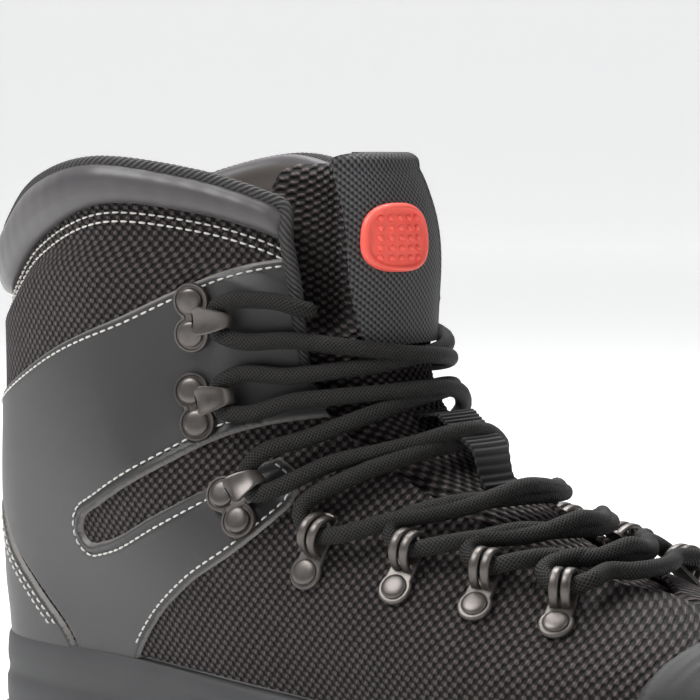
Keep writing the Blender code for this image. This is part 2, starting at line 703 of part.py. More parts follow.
def loop_seat(index, side):
    """Here along runs up the instep, under the rails."""
    way, level, lean = LOOPS[index]
    return Seat(way, level, 90.0 - lean, side, 2 * CLEARANCE)


def plate(name, seat, outline_points, thick):
    rings = [[seat.at(a, b, high) for a, b in outline_points] for high in (0.0, thick)]
    return loft(name, rings, None, helper=True)


def figure_eight():
    """Outline of a plate round two rivets."""
    half = RIVET_PITCH / 2
    open_angle = math.asin(half / PLATE_RADIUS)
    points = []
    for centre, start in ((half, -open_angle), (-half, math.pi - open_angle)):
        for turn in np.linspace(start, start + math.pi + 2 * open_angle, 7):
            points.append((PLATE_RADIUS * math.cos(turn), centre + PLATE_RADIUS * math.sin(turn)))
    return points[:6] + points[7:13]


def make_hook(name, seat):
    """A plate with a bill that rises at its front and turns back over it."""
    spine = ((1.0, 0.75, 5.5), (9.0, 0.75, 5.0), (12.2, 1.9, 4.4), (13.2, 4.4, 4.4),
             (12.0, 7.2, 5.0), (8.5, 8.6, 7.0), (3.6, 9.2, 8.0))
    rings = []
    for i, (along, out, wide) in enumerate(spine):
        before = spine[max(i - 1, 0)]
        after = spine[min(i + 1, len(spine) - 1)]
        run = np.array((after[0] - before[0], after[1] - before[1]))
        run /= np.linalg.norm(run)
        normal = np.array((-run[1], run[0])) * BILL_THICK / 2
        ring = []
        for across, face in ((-1, -1), (1, -1), (1, 1), (-1, 1)):
            ring.append(seat.at(along * MM + face * normal[0], across * wide * MM / 2,
                                out * MM + face * normal[1]))
        rings.append(ring)
    bill = loft(name + "_bill", rings, None, helper=True)
    return joined(name, [plate(name + "_plate", seat, figure_eight(), PLATE_THICK), bill], METAL)


def make_rivet(name, seat, along, up, base):
    """A domed rivet head."""
    turn = np.linspace(0, 2 * np.pi, 6, endpoint=False)
    rings = []
    for share, high in ((1.0, 0.0), (0.86, 0.6), (0.4, 1.0)):
        radius = share * RIVET / 2
        rings.append([seat.at(along + radius * math.cos(t), up + radius * math.sin(t), base + high * RIVET_HIGH)
                      for t in turn])
    return loft(name, rings, METAL)


def tube(name, path, radius, sides, helper=True, finish=None):
    """A closed tube along a path of points."""
    path = np.asarray(path, float)
    run = np.gradient(path, axis=0)
    run /= np.linalg.norm(run, axis=1, keepdims=True)
    side = np.cross(run[0], (0.0, 0.0, 1.0))
    rings = []
    turn = np.linspace(0, 2 * np.pi, sides, endpoint=False)
    for point, direction in zip(path, run):
        side = side - direction * (side @ direction)
        side /= np.linalg.norm(side)
        other = np.cross(direction, side)
        rings.append(point + radius * (np.outer(np.cos(turn), side) + np.outer(np.sin(turn), other)))
    return loft(name, rings, finish, helper)


def make_loop(name, seat):
    """A base plate with two arched rails that the lace runs under."""
    start = RIVET / 2 + RAIL / 2 + 1.5 * CLEARANCE
    turns = np.linspace(0.3, 1.7, 6) * np.pi
    back = [(RIVET * 0.62 * math.cos(t), RIVET * 0.62 * math.sin(t)) for t in turns]
    half = RAIL_PITCH / 2 + RAIL / 2 + 0.6 * MM
    pieces = [plate(name + "_plate", seat, back + [(start + RAIL_SPAN + 1.5 * MM, -half),
                                                   (start + RAIL_SPAN + 1.5 * MM, half)], 1.2 * MM)]
    for sign in (-1, 1):
        arch = [seat.at(start + RAIL_SPAN / 2 * (1 + math.cos(t)), sign * RAIL_PITCH / 2, 0.9 * MM + 7.4 * MM * math.sin(t))
                for t in np.linspace(0, np.pi, 6)]
        pieces.append(tube(name + "_rail", arch, RAIL / 2, 5))
    return joined(name, pieces, METAL)


def lace_exits(index, side):
    """Where the lace leaves eyelet index: (upper, lower) as way, height."""
    if index < len(HOOKS):
        seat = hook_seat(index, side)
        spots = (seat.at(17.0 * MM, 4.2 * MM, 0), seat.at(17.0 * MM, -4.2 * MM, 0))
    else:
        seat = loop_seat(index - len(HOOKS), side)
        spots = (seat.at(20 * MM, 6.5 * MM, 0), seat.at(14 * MM, -8.4 * MM, 0))
    ways = side * np.linspace(0.3, 1.0, 701)
    found = []
    for spot in spots:
        near = np.linalg.norm(oval(ways, spot[2]) - spot, axis=-1).argmin()
        found.append((abs(float(ways[near])), float(spot[2])))
    return found


LACE_LIFT = 5.8 * MM


def strand(start, end, middle, side, steps=7):
    """A stretch of lace from one side to the other, at height middle where it tops the instep."""
    rise = middle - (start[1] + end[1]) / 2
    t = np.linspace(0, 1, steps)
    turn = -side * (1 - start[0]) + t * side * (1 - start[0] + 1 - end[0])
    way = np.where(turn * side < 0, side * (1 - np.abs(turn)), -side * (1 - np.abs(turn)))
    z = start[1] + (end[1] - start[1]) * t + rise * 4 * t * (1 - t)
    return surface(way, z, LACE_LIFT + 0 * t)


def make_laces():
    eyelets = len(HOOKS) + len(LOOPS)
    for index, level in enumerate(CROSSINGS):
        pieces = []
        for side_name, side in SIDES:
            start = lace_exits(index, side)[1]
            end = lace_exits(index + 1, -side)[0]
            pieces.append(tube("strand", strand(start, end, level * COLLAR_HEIGHT, side), LACE / 2, 5))
        joined(f"lace_cross_{index + 1}", pieces, CORD)
    start = lace_exits(eyelets - 1, -1)[1]
    end = lace_exits(eyelets - 1, 1)[1]
    bar = strand(start, end, BAR_LEVEL * COLLAR_HEIGHT, -1)
    tube("lace_bar", bar, LACE / 2, 6, helper=False, finish=CORD)
    for side_name, side in SIDES:
        way, z = lace_exits(0, side)[0]
        edge = float(throat_way(np.array(z)))
        ways = np.array((way, way + 0.3 * (edge - way), way + 0.7 * (edge - way), edge + 0.004, edge + 0.026))
        heights = z + np.array((0.0, 1.5, 1.5, 0.5, 0.0)) * MM
        lifts = np.array((5.0, 5.4, 5.2, 4.6, 4.4)) * MM
        route = surface(side * ways, heights, lifts)
        tube(f"lace_end_{side_name}", route, LACE / 2, 6, helper=False, finish=CORD)


for old in list(bpy.data.objects):
    bpy.data.objects.remove(old)
BOOT = bpy.data.collections.new("wading_boot")
CUTTERS = bpy.data.collections.new("cutters")
for collection in (BOOT, CUTTERS):
    bpy.context.scene.collection.children.link(collection)

KNIT = material("knit", (0.035, 0.032, 0.031), 0.9)
LEATHER = material("smooth leather", (0.05, 0.048, 0.048), 0.45)
RUBBER = material("rubber", (0.03, 0.03, 0.03), 0.7)
FOAM = material("midsole foam", (0.06, 0.06, 0.06), 0.75)
LINING = material("lining", (0.05, 0.05, 0.05), 0.95)
WEBBING = material("webbing", (0.06, 0.06, 0.06), 0.8)
PATCH_RED = material("soft patch", (0.75, 0.06, 0.05), 0.5)
METAL = material("gunmetal", (0.14, 0.13, 0.12), 0.45, 0.8)
CORD = material("braided lace", (0.03, 0.03, 0.03), 0.8)

make_outsole()
make_midsole()
make_insole()
make_upper()
for side_name, side in SIDES:
    make_panel(f"side_panel_{side_name}", side)
make_counter()
make_toe_cap()
make_collar_band()
make_tongue()
make_strap()
make_patch()
make_keeper()
for side_name, side in SIDES:
    for index in range(len(HOOKS)):
        seat = hook_seat(index, side)
        make_hook(f"hook_{side_name}_{index + 1}", seat)
        for place, sign in (("top", 1), ("low", -1)):
            make_rivet(f"hook_rivet_{side_name}_{index + 1}_{place}", seat, 0.0, sign * RIVET_PITCH / 2,
                       PLATE_THICK + CLEARANCE)
    for index in range(len(LOOPS)):
        seat = loop_seat(index, side)
        make_loop(f"lace_loop_{side_name}_{index + 1}", seat)
        make_rivet(f"loop_rivet_{side_name}_{index + 1}", seat, 0.0, 0.0, 1.2 * MM + CLEARANCE)
make_laces()
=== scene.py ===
"""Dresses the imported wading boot: knit, leather, webbing, hooks, laces and soles, with lights and a camera.

Every curved piece lies on one last, the same as the solids' own: horizontal sections, each an oval whose
width, ends and reach come from the table LAST. Lengths are metres, the toe points along +X, the inner side
of the foot along +Y and up is +Z.
"""

import math

import bmesh
import bpy
import numpy as np
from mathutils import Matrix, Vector, kdtree


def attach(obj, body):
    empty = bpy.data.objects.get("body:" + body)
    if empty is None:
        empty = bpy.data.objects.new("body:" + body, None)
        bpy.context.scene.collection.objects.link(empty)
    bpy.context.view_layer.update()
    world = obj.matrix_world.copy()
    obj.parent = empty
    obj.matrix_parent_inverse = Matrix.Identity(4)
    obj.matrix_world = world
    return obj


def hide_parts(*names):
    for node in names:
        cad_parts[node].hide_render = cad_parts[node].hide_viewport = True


bl_info = {
    "name": "Wading boot",
    "version": (1, 0, 0),
    "blender": (4, 5, 0),
    "location": "View3D > Sidebar > Boot",
    "description": "Builds the looks of a laced wading boot around its solids",
    "category": "Add Mesh",
}

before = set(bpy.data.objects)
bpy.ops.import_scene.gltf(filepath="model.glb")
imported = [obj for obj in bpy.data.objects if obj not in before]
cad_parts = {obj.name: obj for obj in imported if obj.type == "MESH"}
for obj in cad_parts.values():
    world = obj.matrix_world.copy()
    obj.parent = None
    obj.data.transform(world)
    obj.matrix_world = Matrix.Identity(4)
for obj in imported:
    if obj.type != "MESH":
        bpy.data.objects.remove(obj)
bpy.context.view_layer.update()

MM = 0.001


# Sizes of the last

UPPER_LENGTH = 300 * MM
BALL_WIDTH = 104 * MM
COLLAR_HEIGHT = 182 * MM
OUTSOLE_LENGTH = 312 * MM
SOLE_RIM = 5.0 * MM
MIDSOLE_RIM = 3.0 * MM
HEEL_STACK = 36 * MM
WAIST_STACK = 32 * MM
BALL_STACK = 25 * MM
TOE_STACK = 35 * MM
TOE_SPRING = 13 * MM
HEEL_SPRING = 4 * MM
ARCH_RISE = 7 * MM
LUG_DEPTH = 5.0 * MM
OUTSOLE_BASE = 5.0 * MM
INSOLE_THICK = 4.0 * MM
INSOLE_INSET = 6.0 * MM
CLEARANCE = 0.35 * MM
UPPER_WALL = 2.2 * MM
PANEL_GAP = 0.1 * MM
PLATE_GAP = 0.5 * MM
BAND_PROUD = 4.2 * MM
BAND_INSIDE = 4.6 * MM
BAND_RISE = 3.0 * MM
COLLAR_STEP = 3.0 * MM
BAND_HEIGHT = 14 * MM
TONGUE_THICK = 8.0 * MM
TONGUE_TOP = 181.5 * MM
TONGUE_HALF = 37 * MM
LEAN_BACK = 8 * MM
LEAN_FROM = 150 * MM
STRAP_WIDTH = 36 * MM
STRAP_THICK = 1.6 * MM
STRAP_LOW = 131 * MM
STRAP_BACK = 18 * MM
STRAP_SIDE = 0.5 * MM
STRAP_BACK_EDGE = -13 * MM
STRAP_SLANT = 0.16
# How far the tongue's face lies out from the last where it stands free.
TONGUE_FRONT = -0.4 * MM
PATCH_LEVEL = 162 * MM
PATCH_SIDE = -4.2 * MM
KEEPER_WIDTH = 15 * MM
KEEPER_LENGTH = 20 * MM
KEEPER_LEVEL = 101 * MM
KEEPER_SLACK = 2.4 * MM
RIVET = 8.0 * MM
RIVET_PITCH = 9.6 * MM
PLATE_THICK = 1.4 * MM
PLATE_RADIUS = 5.4 * MM
BILL_THICK = 1.5 * MM
RAIL = 2.2 * MM
RAIL_SPAN = 11.0 * MM
RAIL_PITCH = 3.4 * MM

# Sections of the last, bottom to top: height as a share of COLLAR_HEIGHT, back and front as shares
# of UPPER_LENGTH, half widths as shares of half of BALL_WIDTH, then how full each end of the oval
# is (1 is an ellipse, less is squarer) and how far the toe swings in, as a share of BALL_WIDTH.
LAST_COLUMNS = ("level", "back", "front", "heel", "waist_out", "waist_in", "ball_out", "ball_in",
                "heel_round", "front_round", "toe_swing")
LAST = np.array((
    (0.110, 0.017, 0.980, 0.67, 0.77, 0.65, 0.98, 0.96, 0.60, 0.60, 0.077),
    (0.187, 0.003, 1.003, 0.73, 0.83, 0.73, 1.02, 1.00, 0.60, 0.61, 0.077),
    (0.242, 0.000, 0.993, 0.77, 0.87, 0.79, 1.00, 0.98, 0.62, 0.63, 0.067),
    (0.286, -0.003, 0.933, 0.79, 0.88, 0.83, 0.96, 0.94, 0.64, 0.68, 0.058),
    (0.330, -0.003, 0.843, 0.81, 0.89, 0.86, 0.92, 0.90, 0.66, 0.76, 0.048),
    (0.374, -0.003, 0.760, 0.83, 0.90, 0.88, 0.88, 0.87, 0.68, 0.82, 0.038),
    (0.429, -0.003, 0.683, 0.85, 0.91, 0.89, 0.85, 0.83, 0.70, 0.84, 0.029),
    (0.495, 0.000, 0.603, 0.87, 0.92, 0.90, 0.81, 0.79, 0.72, 0.84, 0.019),
    (0.571, 0.003, 0.533, 0.88, 0.92, 0.91, 0.77, 0.75, 0.76, 0.84, 0.010),
    (0.648, 0.003, 0.497, 0.88, 0.92, 0.92, 0.76, 0.76, 0.80, 0.84, 0.000),
    (0.725, 0.000, 0.490, 0.88, 0.92, 0.92, 0.77, 0.77, 0.84, 0.84, 0.000),
    (0.824, -0.007, 0.493, 0.88, 0.94, 0.94, 0.79, 0.79, 0.88, 0.86, 0.000),
    (0.934, -0.013, 0.500, 0.90, 0.96, 0.96, 0.81, 0.81, 0.90, 0.88, 0.000),
    (1.071, -0.020, 0.507, 0.92, 0.98, 0.98, 0.83, 0.83, 0.90, 0.88, 0.000),
))
# Collar line: way round from the heel (0) to the front (1), height as a share of COLLAR_HEIGHT.
TOPLINE = ((0.00, 0.862), (0.12, 0.868), (0.22, 0.895), (0.34, 0.962), (0.48, 1.000),
           (0.60, 0.982), (0.70, 0.950), (0.80, 0.905), (1.00, 0.880))
# Height of the padded band down from the collar line, a way round from the heel.
BAND_DROP = ((0.00, 16.5 * MM), (0.22, 16.5 * MM), (0.37, 14.5 * MM), (0.51, 10.5 * MM),
             (0.62, 9.5 * MM), (0.80, 8.5 * MM), (1.00, 8.0 * MM))
# Half width of the throat: height as a share of COLLAR_HEIGHT, half width as a share of BALL_WIDTH.
THROAT = ((0.360, 0.000), (0.372, 0.085), (0.395, 0.145), (0.440, 0.185), (0.550, 0.230),
          (0.720, 0.268), (0.790, 0.278), (0.880, 0.298), (1.000, 0.320))
# Half width of the tongue: height as a share of COLLAR_HEIGHT, half width as a share of TONGUE_HALF.
TONGUE_SIDES = ((0.332, 0.44), (0.380, 0.62), (0.480, 0.80), (0.650, 0.94), (0.850, 1.00), (1.060, 0.92))

# The ribbed binding's lower ends and the collar's front corners, as shares of COLLAR_HEIGHT.
BINDING_LOW = 0.62
BINDING_HIGH = 0.885
# Spacing of the knit's rows as a share of the spacing of its pads.
BODY_ROW = 0.92
TONGUE_ROW = 0.74

HEEL_X = -OUTSOLE_LENGTH / 2 + SOLE_RIM + 1.0 * MM
SIDE_SHIFT = 0.0073 * BALL_WIDTH
SIDES = (("outer", -1), ("inner", 1))

# Overlays seen from the side, as shares of UPPER_LENGTH from the heel and of COLLAR_HEIGHT.
PANEL_TOP = ((-0.040, 0.560), (0.045, 0.618), (0.173, 0.709), (0.253, 0.758), (0.313, 0.805),
             (0.373, 0.842), (0.407, 0.853), (0.480, 0.860))
SLOT = ((0.480, 0.615), (0.393, 0.590), (0.367, 0.577), (0.300, 0.519), (0.220, 0.451),
        (0.193, 0.426), (0.187, 0.404), (0.197, 0.385), (0.220, 0.390), (0.300, 0.445), (0.367, 0.500),
        (0.393, 0.522), (0.423, 0.544))
FINGER = ((0.423, 0.544), (0.447, 0.516), (0.447, 0.478), (0.433, 0.451), (0.403, 0.407), (0.340, 0.341),
          (0.280, 0.264), (0.247, 0.198), (0.233, 0.080))
HEEL_SEAM = ((0.160, 0.080), (0.150, 0.209), (0.097, 0.297), (0.057, 0.354), (0.023, 0.429), (-0.040, 0.490))
COUNTER_SEAM = ((-0.060, 0.480), (0.018, 0.421), (0.052, 0.347), (0.092, 0.289), (0.145, 0.203),
                (0.155, 0.080))
CAP_REACH = 0.868
CAP_SWEEP = 0.10

# Hooks: way round and height of each plate's middle, and lean. Loops: way, height and lean of each rivet.
HOOKS = ((0.611, 0.762, 0.0), (0.598, 0.617, 14.0), (0.571, 0.463, 40.0))
LOOPS = ((0.586, 0.374, 15.0), (0.656, 0.360, 10.0), (0.710, 0.343, 6.0), (0.760, 0.324, 2.0))
# Height on the instep where the lace crosses itself, as a share of COLLAR_HEIGHT.
CROSSINGS = (0.700, 0.628, 0.552, 0.470, 0.425, 0.388)
BAR_LEVEL = 0.372

# Rows of lugs as in the solid: start and end along the foot, then the reach of the blocks across.
HEEL_LUGS = ((0.005, 0.060), (0.082, 0.135), (0.157, 0.210), (0.232, 0.275))
WAIST_LUGS = ((0.330, 0.365), (0.405, 0.440))
BALL_LUGS = ((0.480, 0.525), (0.550, 0.595), (0.620, 0.665), (0.690, 0.735), (0.760, 0.805), (0.830, 0.875))
TOE_LUGS = ((0.900, 0.940), (0.962, 1.000))
THREE_ACROSS = ((-0.985, -0.45), (-0.30, 0.30), (0.45, 0.985))
TWO_ACROSS = ((-0.96, -0.12), (0.12, 0.96))
EDGES_ONLY = ((-0.96, -0.62), (0.62, 0.96))


# Curves and the last's surface

def curve_through(xs, ys, x):
    """Cubic through the points of a table with the table's own slopes; ys may have several columns."""
    xs = np.asarray(xs, float)
    ys = np.asarray(ys, float)
    x = np.clip(np.asarray(x, float), xs[0], xs[-1])
    slope = np.gradient(ys, xs, axis=0)
    i = np.clip(np.searchsorted(xs, x, side="right") - 1, 0, len(xs) - 2)
    step = xs[i + 1] - xs[i]
    t = (x - xs[i]) / step
    if ys.ndim > 1:
        t = t[..., None]
        step = step[..., None]
    start = (2 * t**3 - 3 * t**2 + 1) * ys[i] + (t**3 - 2 * t**2 + t) * step * slope[i]
    end = (3 * t**2 - 2 * t**3) * ys[i + 1] + (t**3 - t**2) * step * slope[i + 1]
    return start + end


def pair_curve(table, x):
    """Smooth curve through a table of two columns."""
    rows = np.array(table, float)
    return curve_through(rows[:, 0], rows[:, 1], x)


def last_value(name, z):
    """A column of the last's table at height z, in its own shares."""
    return curve_through(LAST[:, 0], LAST[:, LAST_COLUMNS.index(name)], np.asarray(z) / COLLAR_HEIGHT)


def ease(t):
    """Runs smoothly from 0 to 1 as t does."""
    t = np.clip(t, 0, 1)
    return t * t * (3 - 2 * t)


def bump_at(value, middle, reach):
    """A soft hump of height 1 at middle that fades over reach."""
    return np.exp(-(((value - middle) / reach) ** 2))


def oval(way, z):
    """Point of the last at height z, a way of -1..1 round from the heel, outer side negative: along the
    foot it follows a cosine, and across it the half width times a power of the sine."""
    way, z = np.broadcast_arrays(np.asarray(way, float), np.asarray(z, float))
    outer = way < 0
    along = (1 - np.cos(np.pi * np.abs(way))) / 2
    heel = last_value("heel", z)
    waist = np.where(outer, last_value("waist_out", z), last_value("waist_in", z))
    ball = np.where(outer, last_value("ball_out", z), last_value("ball_in", z))
    half = heel + (waist - heel) * ease((along - 0.14) / 0.30)
    half = half + (ball - waist) * ease((along - 0.44) / 0.28)
    power = last_value("heel_round", z)
    power = power + (last_value("front_round", z) - power) * ease(along)
    side = np.where(outer, -1.0, 1.0)
    y = side * half * BALL_WIDTH / 2 * np.clip(np.sin(np.pi * np.abs(way)), 0, 1) ** power
    y = y + last_value("toe_swing", z) * BALL_WIDTH * along**3 - SIDE_SHIFT
    back = last_value("back", z) * UPPER_LENGTH
    front = last_value("front", z) * UPPER_LENGTH
    return np.stack([HEEL_X + back + (front - back) * along, y, z], -1)


def outward(way, z):
    """Unit normal of the last, pointing out."""
    round_step = oval(way + 0.002, z) - oval(way - 0.002, z)
    rise_step = oval(way, z + 0.5 * MM) - oval(way, z - 0.5 * MM)
    normal = np.cross(rise_step, round_step)
    return normal / np.maximum(np.linalg.norm(normal, axis=-1, keepdims=True), 1e-12)


def surface(way, z, offset=0.0):
    """Point of the last moved out by offset."""
    return oval(way, z) + outward(way, z) * np.asarray(offset)[..., None]


def side_way(x, z, side):
    """How far round the last the point lies that a side view shows at x and z."""
    back = HEEL_X + last_value("back", z) * UPPER_LENGTH
    front = HEEL_X + last_value("front", z) * UPPER_LENGTH
    along = np.clip((x - back) / (front - back), 0, 1)
    return side * np.arccos(1 - 2 * along) / np.pi


def collar_line(way):
    """Height of the collar's edge, a way round from the heel."""
    return pair_curve(TOPLINE, np.abs(way)) * COLLAR_HEIGHT


def throat_way(z):
    """How far round the upper reaches at height z: 1 below the throat, less beside it."""
    z = np.asarray(z, float)
    half = pair_curve(THROAT, z / COLLAR_HEIGHT) * BALL_WIDTH
    half = np.where(z < THROAT[0][0] * COLLAR_HEIGHT, 0.0, np.maximum(half, 0.0))
    ball = last_value("ball_out", z) * BALL_WIDTH / 2
    share = np.clip(half / ball, 0, 1) ** (1 / last_value("front_round", z))
    return 1 - np.arcsin(share) / np.pi


def feather(x):
    """Height where the upper meets the sole."""
    t = np.clip((x - HEEL_X) / UPPER_LENGTH, -0.05, 1.05)
    middle = (BALL_STACK + TOE_STACK) / 2 - 1.5 * MM
    table = ((-0.05, HEEL_STACK), (0.0, HEEL_STACK), (0.25, HEEL_STACK), (0.45, WAIST_STACK),
             (0.70, BALL_STACK), (0.85, middle), (1.0, TOE_STACK), (1.05, TOE_STACK))
    return pair_curve(table, t)


def underside(x):
    """Height of the sole's lowest face: flat at heel and ball, raised at arch, toe and heel end."""
    t = np.clip((x - HEEL_X) / UPPER_LENGTH, -0.05, 1.05)
    arch = ARCH_RISE * ease((t - 0.29) / 0.08) * ease((0.56 - t) / 0.10)
    toe = TOE_SPRING * np.clip((t - 0.76) / 0.26, 0, 1) ** 1.8
    heel = HEEL_SPRING * np.clip((0.05 - t) / 0.08, 0, 1) ** 1.5
    return arch + toe + heel


def outline(x, rim):
    """Outer and inner edge of the sole at x, as two arrays of y, rim beyond the last."""
    low = feather(x)
    back = HEEL_X + last_value("back", low) * UPPER_LENGTH - rim
    front = HEEL_X + last_value("front", low) * UPPER_LENGTH + rim
    along = np.clip((x - back) / (front - back), 0, 1)
    way = np.arccos(1 - 2 * along) / np.pi
    swell = np.clip(np.sin(np.pi * way), 0, 1) ** 0.6 * rim
    return oval(-way, low)[..., 1] - swell, oval(way, low)[..., 1] + swell


def stations(rim, count):
    """Places along the sole, closer together at its round ends."""
    low_x = HEEL_X - rim + 0.05 * MM
    high_x = HEEL_X + UPPER_LENGTH * float(last_value("front", TOE_STACK)) + rim - 0.3 * MM
    turn = np.linspace(0, np.pi, count)
    return low_x + (high_x - low_x) * (1 - np.cos(turn)) / 2


def way_at(y, z):
    """How far round the last's front the point lies that is y to the side at height z."""
    y = np.asarray(y, float)
    ball = np.where(y < -SIDE_SHIFT, last_value("ball_out", z), last_value("ball_in", z)) * BALL_WIDTH / 2
    centre = last_value("toe_swing", z) * BALL_WIDTH - SIDE_SHIFT
    share = np.clip(np.abs(y - centre) / ball, 0, 1) ** (1 / last_value("front_round", z))
    way = 1 - np.arcsin(share) / np.pi
    return np.where(y < centre, -way, way)


def run_along(points):
    """Distance from the first point along a path."""
    steps = np.linalg.norm(np.diff(points, axis=0), axis=1)
    return np.concatenate([[0.0], np.cumsum(steps)])


def smooth_path(points, step):
    """Points a step apart on the smooth curve through a few."""
    points = np.asarray(points, float)
    apart = np.linalg.norm(np.diff(points, axis=0), axis=1) > 1e-6
    points = points[np.concatenate([[True], apart])]
    reach = run_along(points)
    fine = curve_through(reach, points, np.linspace(0, reach[-1], max(2, 6 * len(points))))
    true = run_along(fine)
    count = max(2, int(round(true[-1] / step)) + 1)
    spots = np.linspace(0, true[-1], count)
    return np.stack([np.interp(spots, true, fine[:, k]) for k in range(fine.shape[1])], -1)


def smooth_ring(points, count):
    """A closed smooth curve through a few points of a section, as count points."""
    points = np.asarray(points, float)
    three = np.concatenate([points, points, points, points[:1]])
    reach = run_along(three)
    start = reach[len(points)]
    end = reach[2 * len(points)]
    return curve_through(reach, three, np.linspace(start, end, count, endpoint=False))


def unit(vectors):
    return vectors / np.maximum(np.linalg.norm(vectors, axis=-1, keepdims=True), 1e-12)


# Meshes from nets of points

def grid_corners(rows, columns, last):
    """Row, column and next column of each face of a grid, and the numbers of its four corners."""
    r, c = np.meshgrid(np.arange(rows - 1), np.arange(last), indexing="ij")
    d = (c + 1) % columns
    below = r * columns
    above = below + columns
    return r, c, d, np.stack([below + c, below + d, above + d, above + c], -1)


class Shape:
    """Collects nets of points into one mesh with a UV map in metres."""

    def __init__(self):
        self.points = []
        self.faces = []
        self.uvs = []
        self.count = 0

    def net(self, points, uv=None, around=False, flip=False, keep=None):
        """Adds a grid of rows and columns. With around, the last column meets the first one again."""
        points = np.asarray(points, float)
        rows, columns = points.shape[:2]
        if uv is None:
            uv = np.zeros((rows, columns + 1, 2))
        last = columns if around else columns - 1
        r, c, d, corners = grid_corners(rows, columns, last)
        spots = np.stack([uv[r, c], uv[r, c + 1], uv[r + 1, c + 1], uv[r + 1, c]], -2)
        corners = corners.reshape(-1, 4)
        spots = spots.reshape(-1, 4, 2)
        if keep is not None:
            kept = keep[r, c] | keep[r, d] | keep[r + 1, d] | keep[r + 1, c]
            corners = corners[kept.reshape(-1)]
            spots = spots[kept.reshape(-1)]
        if flip:
            corners = corners[:, ::-1]
            spots = spots[:, ::-1]
        self.points.append(points.reshape(-1, 3))
        self.faces.append(corners + self.count)
        self.uvs.append(spots)
        self.count += rows * columns

    def many(self, points):
        """Adds many small closed tubes at once: an array of tubes, rows, columns and x, y, z."""
        count, rows, columns = points.shape[:3]
        one = grid_corners(rows, columns, columns)[3].reshape(-1, 4)
        every = one[None] + (np.arange(count) * rows * columns)[:, None, None]
        self.points.append(points.reshape(-1, 3))
        self.faces.append(every.reshape(-1, 4) + self.count)
        self.uvs.append(np.zeros((count * len(one), 4, 2)))
        self.count += count * rows * columns

    def piece(self, name, finish, *replaced, slot=None, closed=True):
        """The finished object: doubles merged, normals out, smooth, riding on the boot's one body."""
        points = np.concatenate(self.points).astype(np.float32)
        faces = np.concatenate(self.faces)
        uvs = np.concatenate(self.uvs).astype(np.float32)
        mesh = bpy.data.meshes.new(name)
        mesh.vertices.add(len(points))
        mesh.vertices.foreach_set("co", points.ravel())
        mesh.loops.add(faces.size)
        mesh.loops.foreach_set("vertex_index", faces.ravel().astype(np.int32))
        mesh.polygons.add(len(faces))
        mesh.polygons.foreach_set("loop_start", np.arange(0, faces.size, 4, dtype=np.int32))
        mesh.polygons.foreach_set("loop_total", np.full(len(faces), 4, np.int32))
        layer = mesh.uv_layers.new(name="metres")
        layer.data.foreach_set("uv", uvs.ravel())
        mesh.update(calc_edges=True)
        work = bmesh.new()
        work.from_mesh(mesh)
        bmesh.ops.remove_doubles(work, verts=work.verts, dist=2e-6)
        loose = [v for v in work.verts if not v.link_faces]
        bmesh.ops.delete(work, geom=loose, context="VERTS")
        if closed:
            bmesh.ops.recalc_face_normals(work, faces=work.faces)
        work.to_mesh(mesh)
        work.free()
        made = bpy.data.objects.new(name, mesh)
        bpy.context.scene.collection.objects.link(made)
        mesh.materials.append(finish)
        mesh.shade_smooth()
        mesh.set_sharp_from_angle(angle=math.radians(50))
        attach(made, "root")
        if replaced:
            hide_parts(*replaced)
        return made


def capped(rings):
    """Rings with a middle point added before the first and after the last one, which closes the ends."""
    first = np.broadcast_to(rings[:1].mean(axis=1, keepdims=True), rings[:1].shape)
    final = np.broadcast_to(rings[-1:].mean(axis=1, keepdims=True), rings[-1:].shape)
    return np.concatenate([first, rings, final])


def tube(path, radius, sides, start_side=(0.0, 0.0, 1.0)):
    """Rings of a round tube along a path, and their UV: metres along, then metres round."""
    path = np.asarray(path, float)
    run = unit(np.gradient(path, axis=0))
    turn = np.linspace(0, 2 * np.pi, sides, endpoint=False)
    radius = np.broadcast_to(np.asarray(radius, float), (len(path),))
    side = np.cross(run[0], start_side)
    rings = []
    for point, direction, reach in zip(path, run, radius):
        side = side - direction * (side @ direction)
        side = side / max(np.linalg.norm(side), 1e-9)
        other = np.cross(direction, side)
        rings.append(point + reach * (np.outer(np.cos(turn), side) + np.outer(np.sin(turn), other)))
    rings = capped(np.array(rings))
    along = run_along(path)
    along = np.concatenate([along[:1], along, along[-1:]])
    around = np.linspace(0, 2 * np.pi * radius.mean(), sides + 1)
    uv = np.stack(np.meshgrid(along, around, indexing="ij"), -1)
    return rings, uv


def soft_power(value, power):
    """A sine or cosine raised to a power with its sign kept, which squares or rounds an outline."""
    return np.sign(value) * np.abs(value) ** power


def flat_rings(path, side, half_width, half_thick, sides):
    """Rings of a rounded flat bar along a path that lies in the plane across side."""
    run = unit(np.gradient(path, axis=0))
    out = np.cross(run, side)
    turn = np.linspace(0, 2 * np.pi, sides, endpoint=False)
    wide = soft_power(np.cos(turn), 0.7) * half_width
    thick = soft_power(np.sin(turn), 0.8) * half_thick
    rings = path[:, None] + wide[None, :, None] * side + thick[None, :, None] * out[:, None]
    return capped(rings)


